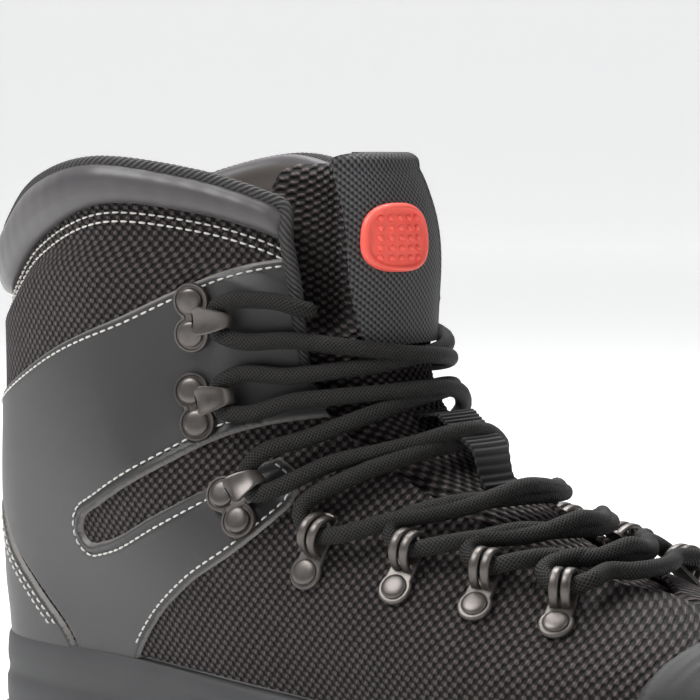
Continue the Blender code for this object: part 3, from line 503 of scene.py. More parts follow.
def stitches(shape, path, normals, pitch, length, width):
    """Adds a row of sewn stitches along a path: each a short thread whose ends dip into the material."""
    reach = run_along(path)
    count = max(1, int(reach[-1] / pitch))
    middles = (np.arange(count) + 0.5) * reach[-1] / count
    centre = np.stack([np.interp(middles, reach, path[:, k]) for k in range(3)], -1)
    ahead = np.stack([np.interp(middles + 0.3 * MM, reach, path[:, k]) for k in range(3)], -1)
    behind = np.stack([np.interp(middles - 0.3 * MM, reach, path[:, k]) for k in range(3)], -1)
    out = unit(np.stack([np.interp(middles, reach, normals[:, k]) for k in range(3)], -1))
    direction = unit(ahead - behind)
    side = np.cross(direction, out)
    t = np.linspace(-1, 1, 7)
    turn = np.linspace(0, 2 * np.pi, 7)[:-1]
    thick = width / 2 * np.clip(1.001 - np.abs(t) ** 3, 0.001, 1) ** 0.5
    lean = direction[:, None, None] * (t * length / 2)[None, :, None, None]
    sag = out[:, None, None] * (width * (0.42 - 0.75 * t**4))[None, :, None, None]
    round_side = side[:, None, None] * (thick[:, None] * np.cos(turn))[None, :, :, None]
    round_out = out[:, None, None] * (thick[:, None] * np.sin(turn))[None, :, :, None]
    shape.many(centre[:, None, None] + lean + sag + round_side + round_out)


# Shader maths

class Value:
    """A shader socket on which Python's operators add Math nodes."""

    def __init__(self, graph, socket):
        self.graph = graph
        self.socket = socket

    def math(self, operation, *values):
        node = self.graph.node("ShaderNodeMath", {"operation": operation}, dict(enumerate(values)))
        return Value(self.graph, node.outputs[0])

    def __add__(self, other):
        return self.math("ADD", self, other)

    def __radd__(self, other):
        return self.math("ADD", other, self)

    def __sub__(self, other):
        return self.math("SUBTRACT", self, other)

    def __rsub__(self, other):
        return self.math("SUBTRACT", other, self)

    def __mul__(self, other):
        return self.math("MULTIPLY", self, other)

    def __rmul__(self, other):
        return self.math("MULTIPLY", other, self)

    def __truediv__(self, other):
        return self.math("DIVIDE", self, other)

    def __pow__(self, other):
        return self.math("POWER", self, other)

    def sine(self):
        return self.math("SINE", self)

    def cosine(self):
        return self.math("COSINE", self)

    def size(self):
        return self.math("ABSOLUTE", self)

    def over(self, low):
        """The value, but never under low."""
        return self.math("MAXIMUM", self, low)

    def clip(self):
        return self.math("MINIMUM", self.math("MAXIMUM", self, 0.0), 1.0)

    def above(self, edge, width):
        """Runs from 0 to 1 as the value passes an edge."""
        return ((self - edge) / width + 0.5).clip()


class Finish:
    """A material, its shader and the nodes that feed it."""

    def __init__(self, name, roughness, metallic=0.0, specular=0.5):
        self.material = bpy.data.materials.new(name)
        self.material.use_nodes = True
        self.tree = self.material.node_tree
        self.shader = self.tree.nodes["Principled BSDF"]
        self.feed("Roughness", roughness)
        self.feed("Metallic", metallic)
        self.feed("Specular IOR Level", specular)

    def plug(self, socket, value):
        if isinstance(value, Value):
            value = value.socket
        if isinstance(value, bpy.types.NodeSocket):
            self.tree.links.new(value, socket)
        else:
            socket.default_value = value

    def node(self, kind, settings=None, inputs=None):
        """Any node: its settings first, then the values or links of its sockets."""
        made = self.tree.nodes.new(kind)
        for key, value in (settings or {}).items():
            setattr(made, key, value)
        for key, value in (inputs or {}).items():
            self.plug(made.inputs[key], value)
        return made

    def feed(self, name, value):
        self.plug(self.shader.inputs[name], value)

    def position(self):
        return self.node("ShaderNodeTexCoord").outputs["Object"]

    def metres(self):
        """The piece's own UV map as two values: metres one way and the other."""
        uv = self.node("ShaderNodeUVMap", {"uv_map": "metres"})
        parts = self.node("ShaderNodeSeparateXYZ", None, {0: uv.outputs[0]})
        return Value(self, parts.outputs[0]), Value(self, parts.outputs[1])

    def noise(self, pitch, detail=3.0):
        """Noise of 0..1 whose blots are about pitch metres across."""
        made = self.node("ShaderNodeTexNoise", None,
                         {"Vector": self.position(), "Scale": 1 / pitch, "Detail": detail})
        return Value(self, made.outputs[0])

    def cells(self, pitch):
        """Distance of 0..1 to the borders of cells about pitch metres across."""
        made = self.node("ShaderNodeTexVoronoi", {"feature": "DISTANCE_TO_EDGE"},
                         {"Vector": self.position(), "Scale": 1 / pitch})
        return Value(self, made.outputs[0])

    def mix(self, factor, first, second):
        """A colour between two, each a colour or a link."""
        made = self.node("ShaderNodeMix", {"data_type": "RGBA"})
        for socket, value in ((made.inputs[0], factor), (made.inputs[6], first), (made.inputs[7], second)):
            self.plug(socket, (*value, 1.0) if isinstance(value, tuple) and len(value) == 3 else value)
        return made.outputs[2]

    def relief(self, height, depth):
        """Bump of a height of 0..1 that stands depth metres high."""
        made = self.node("ShaderNodeBump", None, {"Height": height, "Distance": depth, "Strength": 1.0})
        self.feed("Normal", made.outputs[0])


def shade(colour, by):
    """A colour made lighter or darker."""
    return tuple(min(1.0, c * by) for c in colour)


def colours():
    return bpy.context.scene.wading_boot_colours


def sizes():
    return bpy.context.scene.wading_boot_sizes


def tint(name):
    return tuple(getattr(colours(), name))


def knit_finish(name, across, up):
    """Raised mesh: staggered pads a pitch apart, thin yarn lines on them; painted shade darkens the holes
    between and painted highlight lightens the pad tops.
    """
    made = Finish(name, 0.85, specular=0.25)
    u, v = made.metres()
    turn = 2 * math.pi
    wave = (u * (turn / across)).cosine() * (v * (turn / up)).cosine()
    uneven = made.noise(9 * MM) * 0.3 + made.noise(1.5 * MM) * 0.7 - 0.5
    pad = (wave * 0.5 + 0.5 + uneven * 0.45).clip()
    yarn = ((u + v * 0.6) * (turn / (0.33 * across))).sine() * 0.5 + 0.5
    high = pad * 0.85 + yarn * pad * 0.15
    # Painted light: the colour follows the pads' height, painted shade in the holes and painted highlight on
    # the tops, with yarn lines on them.
    tone = (pad.above(0.64, 0.42) * (0.45 + yarn * 0.55)).clip()
    made.feed("Base Color", made.mix(tone, shade(tint("knit"), 0.08), shade(tint("knit"), 1.75)))
    made.feed("Sheen Weight", 0.05)
    made.relief(high, 1.1 * MM)
    return made.material


def leather_finish(name, colour):
    """Smooth leather with a faint grain, soft tone changes and a painted highlight along the rolled cut edges
    (UV across = depth in).
    """
    made = Finish(name, 0.42, specular=0.5)
    inside, _ = made.metres()
    grain = made.cells(0.55 * MM)
    fine = made.noise(0.35 * MM, 2.0)
    broad = made.noise(28 * MM, 2.0)
    body = made.mix(broad, shade(colour, 0.82), shade(colour, 1.2))
    # Painted highlight: the edge colour laid along the rolled cut edge of each panel.
    rolled_edge_highlight = (1 - inside.above(0.55 * MM, 0.5 * MM)) * 0.55
    made.feed("Base Color", made.mix(rolled_edge_highlight, body, tint("edge")))
    made.feed("Roughness", 0.40 + broad * 0.08 + fine * 0.05)
    made.feed("Coat Weight", 0.06)
    made.feed("Coat Roughness", 0.35)
    made.relief((grain * 6.0).clip() * 0.6 + fine * 0.4, 0.035 * MM)
    return made.material


def band_finish():
    """The padded band: leather outside, painted 2.1 to 3 times lighter than the panels' leather as a painted
    highlight, brushed lining inside (UV up = 0 outside, over 0.5 inside).
    """
    made = Finish("band leather", 0.42, specular=0.5)
    _, inner = made.metres()
    broad = made.noise(22 * MM, 2.0)
    fine = made.noise(0.35 * MM, 2.0)
    lining = inner.above(0.5, 0.04)
    # Painted highlight: a lit copy of the panels' leather, 2.1 to 3 times lighter.
    leather = made.mix(broad, shade(tint("leather"), 2.1), shade(tint("leather"), 3.0))
    made.feed("Base Color", made.mix(lining, leather, tint("lining")))
    made.feed("Roughness", 0.32 + broad * 0.08 + lining * 0.4)
    made.relief((made.cells(0.55 * MM) * 6.0).clip() * 0.5 + fine * 0.5, 0.03 * MM)
    return made.material


def ribbed_finish(name, colour, pitch, slant=0.0):
    """Fine ribs across a tape, a pitch apart and slanted, with painted shade in the grooves and painted
    highlight on the crests.
    """
    made = Finish(name, 0.7, specular=0.3)
    u, v = made.metres()
    rib = ((u + v * slant) * (2 * math.pi / pitch)).sine() * 0.5 + 0.5
    thread = ((v - u * 0.3) * (2 * math.pi / (0.4 * MM))).sine() * 0.5 + 0.5
    # Painted light: the ribs' height sets the colour, painted shade in the grooves and painted highlight on
    # the crests, with thread lines across.
    tone = rib * 0.75 + thread * 0.25
    made.feed("Base Color", made.mix(tone, shade(colour, 0.2), shade(colour, 1.7)))
    made.relief(rib * 0.8 + thread * 0.2, 0.35 * MM)
    return made.material


def weave_finish(name, colour, pitch):
    """Webbing: two sets of slanted threads that cross, one set bolder than the other; painted shade darkens
    the low spots and painted highlight lightens the raised threads.
    """
    made = Finish(name, 0.75, specular=0.3)
    u, v = made.metres()
    turn = 2 * math.pi / pitch
    first = ((u + v) * turn).sine()
    second = ((u - v) * turn).sine()
    high = (first * 0.5 + 0.5) * 0.62 + (second * 0.5 + 0.5) * 0.38
    thread = ((u * 2.0) * turn).sine() * 0.5 + 0.5
    # Painted light: the threads' height sets the colour, painted shade low down and painted highlight on the
    # raised threads.
    tone = (high * 0.8 + thread * 0.2).above(0.5, 0.5)
    made.feed("Base Color", made.mix(tone, shade(colour, 0.10), shade(colour, 1.4)))
    made.feed("Roughness", 0.62 + high * 0.15)
    made.relief(high, 0.22 * MM)
    return made.material


# Lozenges of the braid round the lace.
STRANDS_ROUND = 12


def lace_finish():
    """Round braid: two sets of strands wound opposite ways, seen as small slanted lozenges whose crests carry
    a painted highlight and whose grooves carry painted shade.
    """
    made = Finish("braided lace", 0.70, specular=0.2)
    u, v = made.metres()
    turn = 2 * math.pi
    pitch = sizes().braid_pitch
    around = math.pi * sizes().lace_diameter / STRANDS_ROUND
    first = (u * (turn / pitch) + v * (turn / around)).sine()
    second = (u * (turn / pitch) - v * (turn / around)).sine()
    high = (first * 0.5 + 0.5).over(second * 0.5 + 0.5)
    groove = 1 - (first * second).size() * 0.5
    # Painted light: painted highlight on the strands' crests, painted shade in the grooves between them.
    made.feed("Base Color", made.mix(high ** 4.0, shade(tint("lace"), 0.2), shade(tint("lace"), 4.2)))
    made.feed("Roughness", 0.5 + groove * 0.2)
    made.relief(high, 0.28 * MM)
    return made.material


def metal_finish():
    """Gunmetal coating with a slight cast texture and wear."""
    made = Finish("gunmetal", 0.42, 0.8, 0.5)
    broad = made.noise(3 * MM, 3.0)
    fine = made.noise(0.25 * MM, 2.0)
    made.feed("Base Color", made.mix(broad, shade(tint("metal"), 0.75), shade(tint("metal"), 1.3)))
    made.feed("Roughness", 0.33 + broad * 0.14)
    made.relief(fine, 0.02 * MM)
    return made.material


def rubber_finish(name, colour, pitch=0.5 * MM, depth=0.06 * MM):
    """Moulded rubber: fine even texture, a little dust in the tone."""
    made = Finish(name, 0.62, specular=0.4)
    fine = made.noise(pitch, 3.0)
    broad = made.noise(18 * MM, 3.0)
    made.feed("Base Color", made.mix(broad, shade(colour, 0.8), shade(colour, 1.25)))
    made.feed("Roughness", 0.55 + broad * 0.15)
    made.relief(fine, depth)
    return made.material


def patch_finish():
    made = Finish("soft patch", 0.42, specular=0.5)
    fine = made.noise(0.4 * MM, 2.0)
    made.feed("Base Color", made.mix(fine, shade(tint("patch"), 0.9), shade(tint("patch"), 1.08)))
    made.feed("Subsurface Weight", 0.08)
    made.feed("Subsurface Radius", (1.0 * MM, 0.4 * MM, 0.3 * MM))
    made.relief(fine, 0.03 * MM)
    return made.material


def thread_finish():
    made = Finish("white thread", 0.65, specular=0.3)
    fine = made.noise(0.3 * MM, 2.0)
    made.feed("Base Color", made.mix(fine, shade(tint("thread"), 0.8), tint("thread")))
    made.relief(fine, 0.08 * MM)
    return made.material


# Pieces

def level_rows(share, way):
    """Height between the sole's edge and the collar, a way round; rows bunch at neither end."""
    low = feather(oval(way, TOE_STACK)[..., 0]) + 3 * CLEARANCE
    high = collar_line(way)
    return low + (high - low) * share


def collar_inset(way, z):
    """How far the upper steps in behind the padded band."""
    return COLLAR_STEP * ease((z - collar_line(way) + BAND_HEIGHT + 13 * MM) / (7 * MM))


def soft_creases(way, z):
    """Shallow hollows of a worn-in upper: over the heel tendon and across the flex of the vamp."""
    tendon = -0.5 * MM * bump_at(z, 118 * MM, 18 * MM) * bump_at(np.abs(way), 0.0, 0.10)
    x = oval(way, z)[..., 0] - HEEL_X
    low = np.clip((80 * MM - z) / (20 * MM), 0, 1)
    flex = -0.45 * MM * (bump_at(x, 205 * MM, 4 * MM) + bump_at(x, 217 * MM, 4 * MM)) * low
    return tendon + flex * (np.abs(way) > 0.3)


def make_upper():
    """The knit body: a hollow shell between the last and the last less its wall, from the sole's edge
    to the collar, open at the throat, its columns spaced round from the heel."""
    rows, columns = 112, 341
    share, around = np.meshgrid(np.linspace(0, 1, rows), np.linspace(-1, 1, columns), indexing="ij")
    z = level_rows(share, around)
    way = around * throat_way(z)
    for _ in range(2):
        z = level_rows(share, way)
        way = around * throat_way(z)
    inset = collar_inset(way, z)
    crease = soft_creases(way, z)
    outer = surface(way, z, crease - inset)
    inner = surface(way, z, -UPPER_WALL - inset)
    edge = (outer + inner) / 2
    for net in (outer, inner):
        net[:, 0] = edge[:, 0]
        net[:, -1] = edge[:, -1]
    points = np.concatenate([outer, inner[::-1], outer[:1]])
    middle = columns // 2
    step = np.linalg.norm(np.diff(outer, axis=1), axis=2)
    across = np.concatenate([np.zeros((rows, 1)), np.cumsum(step, axis=1)], axis=1)
    across = across - across[:, middle:middle + 1]
    across = np.concatenate([across, across[::-1], across[:1]])
    up = np.concatenate([z, z[::-1], z[:1]])
    uv = np.stack([across, up], -1)
    uv = np.concatenate([uv, uv[:, -1:]], axis=1)
    shape = Shape()
    shape.net(points, uv)
    finish = knit_finish("body knit", sizes().knit_pitch, sizes().knit_pitch * BODY_ROW)
    return shape.piece("knit_upper", finish, "upper", slot="knit")


def dense(corners, step=1.0 * MM):
    """A side-view outline given in shares as a smooth line of x and z in metres."""
    points = np.array(corners, float) * (UPPER_LENGTH, COLLAR_HEIGHT) + (HEEL_X, 0.0)
    return smooth_path(points, step)


def inside(x, z, ring):
    """Whether points lie inside a closed outline, counted by its edges crossed."""
    found = np.zeros(x.shape, bool)
    for (x0, z0), (x1, z1) in zip(ring, np.roll(ring, -1, axis=0)):
        if z0 == z1:
            continue
        crosses = (z > min(z0, z1)) & (z <= max(z0, z1))
        found ^= crosses & (x < x0 + (z - z0) * (x1 - x0) / (z1 - z0))
    return found


def nearest(points, targets):
    """For each point the nearest of the targets and the distance to it."""
    tree = kdtree.KDTree(len(targets))
    for i, spot in enumerate(targets):
        tree.insert(Vector(spot), i)
    tree.balance()
    flat = points.reshape(-1, 3)
    index = np.empty(len(flat), int)
    distance = np.empty(len(flat))
    for i, spot in enumerate(flat):
        _, index[i], distance[i] = tree.find(Vector(spot))
    return index.reshape(points.shape[:-1]), distance.reshape(points.shape[:-1])


def overlay(shape, ring, side, ways, levels, gap, thick, lips=()):
    """A thin panel on the upper: a fine net of the last's surface that stands thick inside the outline
    and rolls down under the knit outside it. Lips are lines along which its edge is thicker."""
    way, z = np.meshgrid(side * ways, levels, indexing="xy")
    way = side * np.minimum(np.abs(way), throat_way(z) - 0.004)
    base = surface(way, z, gap)
    line = surface(side_way(ring[:, 0], ring[:, 1], side), ring[:, 1], gap)
    fine = smooth_path(line, 0.35 * MM)
    index, distance = nearest(base, fine)
    within = inside(oval(way, z)[..., 0], z, ring)
    signed = np.where(within, distance, -distance)
    roll = 1 - (1 - np.clip(signed / (0.9 * MM), 0, 1)) ** 2
    height = gap + thick * np.sqrt(np.clip(roll, 0, 1))
    height = np.where(signed < 0, np.maximum(gap + 2.2 * signed, -1.2 * MM), height)
    for lip, extra in lips:
        on_last = surface(side_way(lip[:, 0], lip[:, 1], side), lip[:, 1], gap)
        _, reach = nearest(base, smooth_path(on_last, 0.5 * MM))
        height = height + extra * bump_at(reach, 1.2 * MM, 1.0 * MM) * (signed > 0)
        height = height - 0.35 * extra * bump_at(reach, 3.1 * MM, 0.7 * MM) * (signed > 0)
    sink = soft_creases(way, z) - collar_inset(way, z)
    points = surface(way, z, height + sink)
    cell = 0.55 * MM
    near = np.abs(signed) < 0.55 * cell
    snapped = fine[index] + outward(way, z) * (0.35 * thick + sink)[..., None]
    points = np.where(near[..., None], snapped, points)
    uv = np.stack([np.maximum(signed, 0.0), z], -1)
    uv = np.concatenate([uv, uv[:, -1:]], axis=1)
    shape.net(points, uv, flip=side > 0, keep=signed > -0.9 * MM)


def panel_ring():
    """The side panel's outline: its top edge, the slot, the lower finger, the sole and the heel seam."""
    bottom = np.array([(0.233, 0.080), (0.160, 0.080)]) * (UPPER_LENGTH, COLLAR_HEIGHT) + (HEEL_X, 0.0)
    return np.concatenate([dense(PANEL_TOP), dense(SLOT), dense(FINGER), bottom, dense(HEEL_SEAM)])


def make_side_panels():
    """One leather panel on each side with its slot, open where the knit shows."""
    finish = leather_finish("panel leather", tint("leather"))
    for name, side in SIDES:
        shape = Shape()
        fine = side < 0
        ways = np.linspace(0.0, 0.80, 330 if fine else 200)
        levels = np.linspace(28 * MM, 160 * MM, 230 if fine else 150)
        thick = sizes().panel_thickness
        overlay(shape, panel_ring(), side, ways, levels, PANEL_GAP, thick, ((dense(SLOT[1:]), 0.7 * MM),))
        shape.piece(f"leather_panel_{name}", finish, f"side_panel_{name}", slot="leather", closed=False)


def make_heel_counter():
    """The moulded heel cup, edge to edge round the heel."""
    bottom = np.array([(-0.060, 0.080)]) * (UPPER_LENGTH, COLLAR_HEIGHT) + (HEEL_X, 0.0)
    ring = np.concatenate([dense(COUNTER_SEAM), bottom])
    shape = Shape()
    for _, side in SIDES:
        overlay(shape, ring, side, np.linspace(0.0, 0.36, 150), np.linspace(30 * MM, 92 * MM, 90),
                PANEL_GAP, 1.5 * MM)
    finish = leather_finish("counter leather", shade(tint("leather"), 0.9))
    shape.piece("leather_counter", finish, "heel_counter", slot="leather", closed=False)


def make_toe_cap():
    """The rubber guard round the toe: the last's front, cut by a curve across the foot."""
    shape = Shape()
    way, share = np.meshgrid(np.linspace(-1, 1, 300), np.linspace(0, 1, 90), indexing="xy")
    low = feather(oval(way, TOE_STACK)[..., 0]) + 2 * CLEARANCE
    z = low + (70 * MM - low) * share
    base = oval(way, z)
    across = np.clip(base[..., 1] / (0.7 * BALL_WIDTH), -1, 1)
    edge_x = HEEL_X + (CAP_REACH - CAP_SWEEP * across**2) * UPPER_LENGTH
    signed = base[..., 0] - edge_x
    height = 0.2 * MM + 1.5 * MM * np.sqrt(1 - (1 - np.clip(signed / (1.6 * MM), 0, 1)) ** 2)
    height = np.where(signed < 0, np.maximum(0.2 * MM + 2 * signed, -1.0 * MM), height)
    ridge = 0.35 * MM * (bump_at(signed, 5 * MM, 0.8 * MM) + bump_at(signed, 8 * MM, 0.8 * MM))
    points = surface(way, z, height + ridge)
    shape.net(points, keep=signed > -1.0 * MM, flip=True)
    finish = rubber_finish("toe rubber", tint("rubber"))
    shape.piece("toe_guard", finish, "toe_cap", slot="rubber", closed=False)


def band_ring(drop):
    """The padded band's section where it hangs drop low: out from the collar's edge, over its top and
    down inside, as (outwards, up) pairs that a smooth closed curve joins."""
    inner = -UPPER_WALL - 5 * CLEARANCE
    return ((0.3 * MM, -drop), (0.55 * BAND_PROUD, 0.5 * MM - drop), (0.95 * BAND_PROUD, -0.78 * drop),
            (1.05 * BAND_PROUD, -0.5 * drop), (0.95 * BAND_PROUD, -0.2 * drop),
            (0.45 * BAND_PROUD, 0.2 * BAND_RISE), (-1.6 * MM, 0.62 * BAND_RISE),
            (inner - 0.5 * BAND_INSIDE, 0.8 * BAND_RISE),
            (inner - 0.95 * BAND_INSIDE, 0.0), (inner - BAND_INSIDE, -0.35 * BAND_HEIGHT),
            (inner - 0.9 * BAND_INSIDE, -0.7 * BAND_HEIGHT), (inner - 0.1 * MM, -0.9 * BAND_HEIGHT),
            (inner + 0.3 * MM, -0.5 * BAND_HEIGHT), (-1.0 * MM, -0.5 * BAND_HEIGHT))


def rim_frame(way, level):
    """Point on the stepped-in upper at a level, and the horizontal way out of it."""
    out = unit(outward(way, level) * (1, 1, 0))
    return surface(way, level, -collar_inset(way, level)), out


def make_collar_band():
    """The padded roll round the collar: one closed section carried round the collar line."""
    count, sides = 300, 56
    around = np.linspace(-1, 1, count)
    way = around * throat_way(collar_line(around))
    top = collar_line(way)
    rings = []
    for place, here, high in zip(around, way, top):
        drop = float(pair_curve(BAND_DROP, abs(here)))
        puff = 1 + 0.025 * math.sin(here * 190) * (1 if abs(here) > 0.5 else 0.4)
        end = 1 - 0.55 * ease((abs(place) - 0.975) / 0.025)
        section = smooth_ring(band_ring(drop), sides)
        level = high + np.minimum(section[:, 1], 0.0)
        local = place * throat_way(level)
        foot, out = rim_frame(local, level)
        proud = np.where(section[:, 0] > 0, section[:, 0] * puff * end, section[:, 0] * end)
        ring = foot + out * proud[:, None]
        ring[:, 2] = high + section[:, 1] * np.where(section[:, 1] > 0, end, 1.0)
        rings.append(ring)
    rings = capped(np.array(rings))
    share = np.linspace(0, 1, sides + 1)
    along = np.linspace(0, 0.5, len(rings))
    uv = np.stack(np.meshgrid(along, share, indexing="ij"), -1)
    shape = Shape()
    shape.net(rings, uv, around=True)
    return shape.piece("padded_collar", band_finish(), "collar_band", slot="leather")


def throat_edge(side, low, high, count):
    """Points down one side of the throat's edge."""
    z = np.linspace(high, low, count)
    way = side * throat_way(z)
    return surface(way, z, 0.9 * MM - collar_inset(way, z) * 0.4)


def make_binding():
    """The ribbed roll that binds the collar's top and both edges of the throat: a tube on one smooth
    path whose radius swells and sinks as its slanted ribs pass."""
    low = BINDING_LOW * COLLAR_HEIGHT
    corner = BINDING_HIGH * COLLAR_HEIGHT
    outer = throat_edge(-1, low, corner, 14)[::-1]
    inner = throat_edge(1, low, corner, 14)
    around = np.linspace(-0.985, 0.985, 43)
    way = around * throat_way(collar_line(around))
    high = collar_line(way)
    foot, out = rim_frame(way, high)
    top = foot - out * 0.2 * MM
    top[:, 2] = high + 0.9 * MM
    path = smooth_path(np.concatenate([outer, top, inner]), 0.5 * MM)
    along = run_along(path)
    total = along[-1]
    facing = np.clip((np.minimum(along, total - along)) / (100 * MM), 0, 1)
    low_down = ease((path[:, 2] - low) / (24 * MM))
    radius = (0.9 + 1.2 * low_down + 0.1 * ease((facing - 0.8) / 0.2)) * MM
    rings, uv = tube(path, radius, 22)
    turn = np.linspace(0, 2 * np.pi, 22, endpoint=False)
    wave = np.sin(2 * np.pi * along[:, None] / sizes().rib_pitch + 2 * turn[None, :])
    centre = path[:, None]
    rings[1:-1] = centre + (rings[1:-1] - centre) * (1 + 0.05 * wave[..., None])
    shape = Shape()
    shape.net(rings, uv, around=True)
    finish = ribbed_finish("ribbed binding", tint("binding"), sizes().rib_pitch, 1.0)
    return shape.piece("collar_binding", finish, slot="webbing")


def lean_back(z):
    """How far the tongue's free top leans back from the last."""
    return LEAN_BACK * np.clip((z - LEAN_FROM) / (TONGUE_TOP - LEAN_FROM), 0, 1) ** 2


def tongue_offset(y, z):
    """The tongue swells out between the two sides of the throat and runs in under them."""
    half = pair_curve(THROAT, z / COLLAR_HEIGHT) * BALL_WIDTH
    under = -UPPER_WALL - 5 * CLEARANCE
    behind_band = -COLLAR_STEP - UPPER_WALL - BAND_INSIDE - 7 * CLEARANCE
    behind = ease((z - (0.86 * COLLAR_HEIGHT - BAND_HEIGHT) + 12 * MM) / (10 * MM))
    tucked = under + (behind_band - under) * behind
    swell = ease((half - (2 + 6 * behind) * MM - np.abs(y + SIDE_SHIFT)) / (7 * MM))
    swell = swell * ease((z - 0.405 * COLLAR_HEIGHT) / (14 * MM))
    return tucked + (TONGUE_FRONT - tucked) * swell - lean_back(z)


def make_tongue():
    """The padded tongue: its front follows the last, its back lies a thickness behind, and staggered
    knit pads stand out of its front by the product of two cosines."""
    rows, front_count, back_count = 250, 170, 46
    low = TONGUE_SIDES[0][0] * COLLAR_HEIGHT
    levels = np.linspace(low, TONGUE_TOP, rows)
    across = np.linspace(-1, 1, front_count)
    behind = np.linspace(1, -1, back_count)
    pitch = sizes().tongue_pitch
    row = TONGUE_ROW * pitch
    rings = []
    uvs = []
    for z in levels:
        half = float(pair_curve(TONGUE_SIDES, z / COLLAR_HEIGHT)) * TONGUE_HALF
        near_top = np.clip((z - TONGUE_TOP + 4 * MM) / (4 * MM), 0, 1)
        rounded = 3.2 * MM * (1 - math.sqrt(max(0.0, 1 - float(near_top) ** 2)))
        ring = []
        for spread, front in ((across, True), (behind, False)):
            y = spread * (half - 0.6 * rounded) - SIDE_SHIFT
            way = way_at(y, z)
            offset = tongue_offset(y, z) - rounded
            if front:
                pads = np.cos(2 * np.pi * y / pitch) * np.cos(2 * np.pi * z / row)
                offset = offset + 0.32 * MM * pads * np.clip((1 - np.abs(spread)) * 12, 0, 1)
            else:
                thick = 3 * MM + (TONGUE_THICK - 3 * MM) * (1 - spread**4)
                offset = offset - np.maximum(thick - 2 * rounded, 0.3 * MM)
            ring.append(surface(way, z + 0 * y, offset))
            uvs.append(np.stack([y, z + 0 * y], -1))
        rings.append(np.concatenate(ring))
    rings = capped(np.array(rings))
    uv = np.concatenate(uvs).reshape(rows, front_count + back_count, 2)
    uv = np.concatenate([uv[:1], uv, uv[-1:]])
    uv = np.concatenate([uv, uv[:, :1]], axis=1)
    shape = Shape()
    shape.net(rings, uv, around=True)
    return shape.piece("knit_tongue", knit_finish("tongue knit", pitch, row), "tongue", slot="knit")


def strap_middle(z):
    """The strap leans to the outer side as it rises."""
    return STRAP_SIDE - STRAP_SLANT * (z - STRAP_LOW)


# How far the strap's under face lies out from the last.
STRAP_SEAT = TONGUE_FRONT + 1.9 * CLEARANCE


def strap_rows(count):
    """The strap's course from its lower end over the tongue's top: offset from the last, and height."""
    front = STRAP_SEAT
    back = front - TONGUE_THICK - 3 * CLEARANCE
    middle = (front + back) / 2
    bend = (front - back) / 2
    rows = [(front, z) for z in np.linspace(STRAP_LOW, TONGUE_TOP - 1 * MM, 8)]
    for turn in np.linspace(0.15, 0.85, 6) * np.pi:
        rows.append((middle + bend * math.cos(turn), TONGUE_TOP + 1 * MM + 0.6 * bend * math.sin(turn)))
    rows += [(back, z) for z in np.linspace(TONGUE_TOP - 2 * MM, TONGUE_TOP - STRAP_BACK, 4)]
    return smooth_path(rows, run_along(np.array(rows))[-1] / (count - 1))


def make_strap():
    """The pull strap: a flat tape folded over the tongue's top, a little thicker along its bound edges."""
    course = strap_rows(150)
    count = 72
    spread = np.linspace(-1, 1, count)
    edge = 0.45 * MM * np.exp(-((1 - np.abs(spread)) * STRAP_WIDTH / 2 / (1.1 * MM)) ** 2)
    rings = []
    uvs = []
    along = run_along(course)
    for (offset, z), reach in zip(course, along):
        low = min(z, TONGUE_TOP)
        y = strap_middle(low) + spread * STRAP_WIDTH / 2 + 0.5 * MM * math.sin(z * 160)
        folded = float(ease(-offset / (0.8 * TONGUE_THICK)))
        y = np.linspace(y[0] + folded * max(0.0, STRAP_BACK_EDGE - y[0]), y[-1], count)
        way = way_at(y, low)
        lift = offset - lean_back(low) + 0 * y
        if offset < -0.5 * TONGUE_THICK:
            lift = tongue_offset(y, low) - TONGUE_THICK - 7.5 * CLEARANCE
        sign = 1 if offset > -0.5 * TONGUE_THICK else -1
        inner = surface(way, low + 0 * y, lift)
        outer = surface(way, low + 0 * y, lift + sign * (STRAP_THICK + edge))
        inner[:, 2] = z
        top = np.clip((z - TONGUE_TOP) / (4 * MM), 0, 1)
        outer[:, 2] = z + top * STRAP_THICK * 0.7
        rings.append(np.concatenate([outer, inner[::-1]]))
        uvs.append(np.stack([np.concatenate([y, y[::-1], y[:1]]), np.full(2 * count + 1, reach)], -1))
    rings = capped(np.array(rings))
    uv = np.array(uvs)
    uv = np.concatenate([uv[:1], uv, uv[-1:]])
    shape = Shape()
    shape.net(rings, uv, around=True)
    finish = weave_finish("strap webbing", tint("strap"), sizes().weave_pitch)
    return shape.piece("folded_strap", finish, "pull_strap", slot="webbing")


PATCH_WIDE = 21.5 * MM
PATCH_TALL = 19.5 * MM
# How square the patch's outline is: 1 is an ellipse, less is squarer.
PATCH_CORNER = 0.72
# The patch from its back over the rim to its middle, then one dot: share of its outline, and height
# in millimetres.
PATCH_PROFILE = ((0.98, -0.2), (1.0, 0.6), (0.985, 1.3), (0.955, 1.8), (0.92, 2.05), (0.88, 2.1),
                 (0.845, 1.95), (0.82, 1.6), (0.80, 1.3), (0.77, 1.15), (0.6, 1.2), (0.35, 1.25),
                 (0.1, 1.25))
DOT_PROFILE = ((1.0, 1.0), (0.95, 1.5), (0.7, 1.85), (0.35, 2.0))
DOT_RADIUS = 0.95 * MM
DOT_ACROSS = 3.0 * MM
DOT_UP = 2.8 * MM


def patch_middle():
    return strap_middle(PATCH_LEVEL) + PATCH_SIDE


def on_strap(y, z, high):
    """Point that stands high over the strap's face."""
    base = STRAP_SEAT + STRAP_THICK + 0.2 * MM - lean_back(z)
    return surface(way_at(y, z), z, base + high)


def patch_spot(share, turn, high):
    """A point of the patch: a soft square's outline shrunk by share, raised by high."""
    y = patch_middle() + share * PATCH_WIDE / 2 * soft_power(np.cos(turn), PATCH_CORNER)
    z = PATCH_LEVEL + share * PATCH_TALL / 2 * soft_power(np.sin(turn), PATCH_CORNER)
    return on_strap(y, z, high)


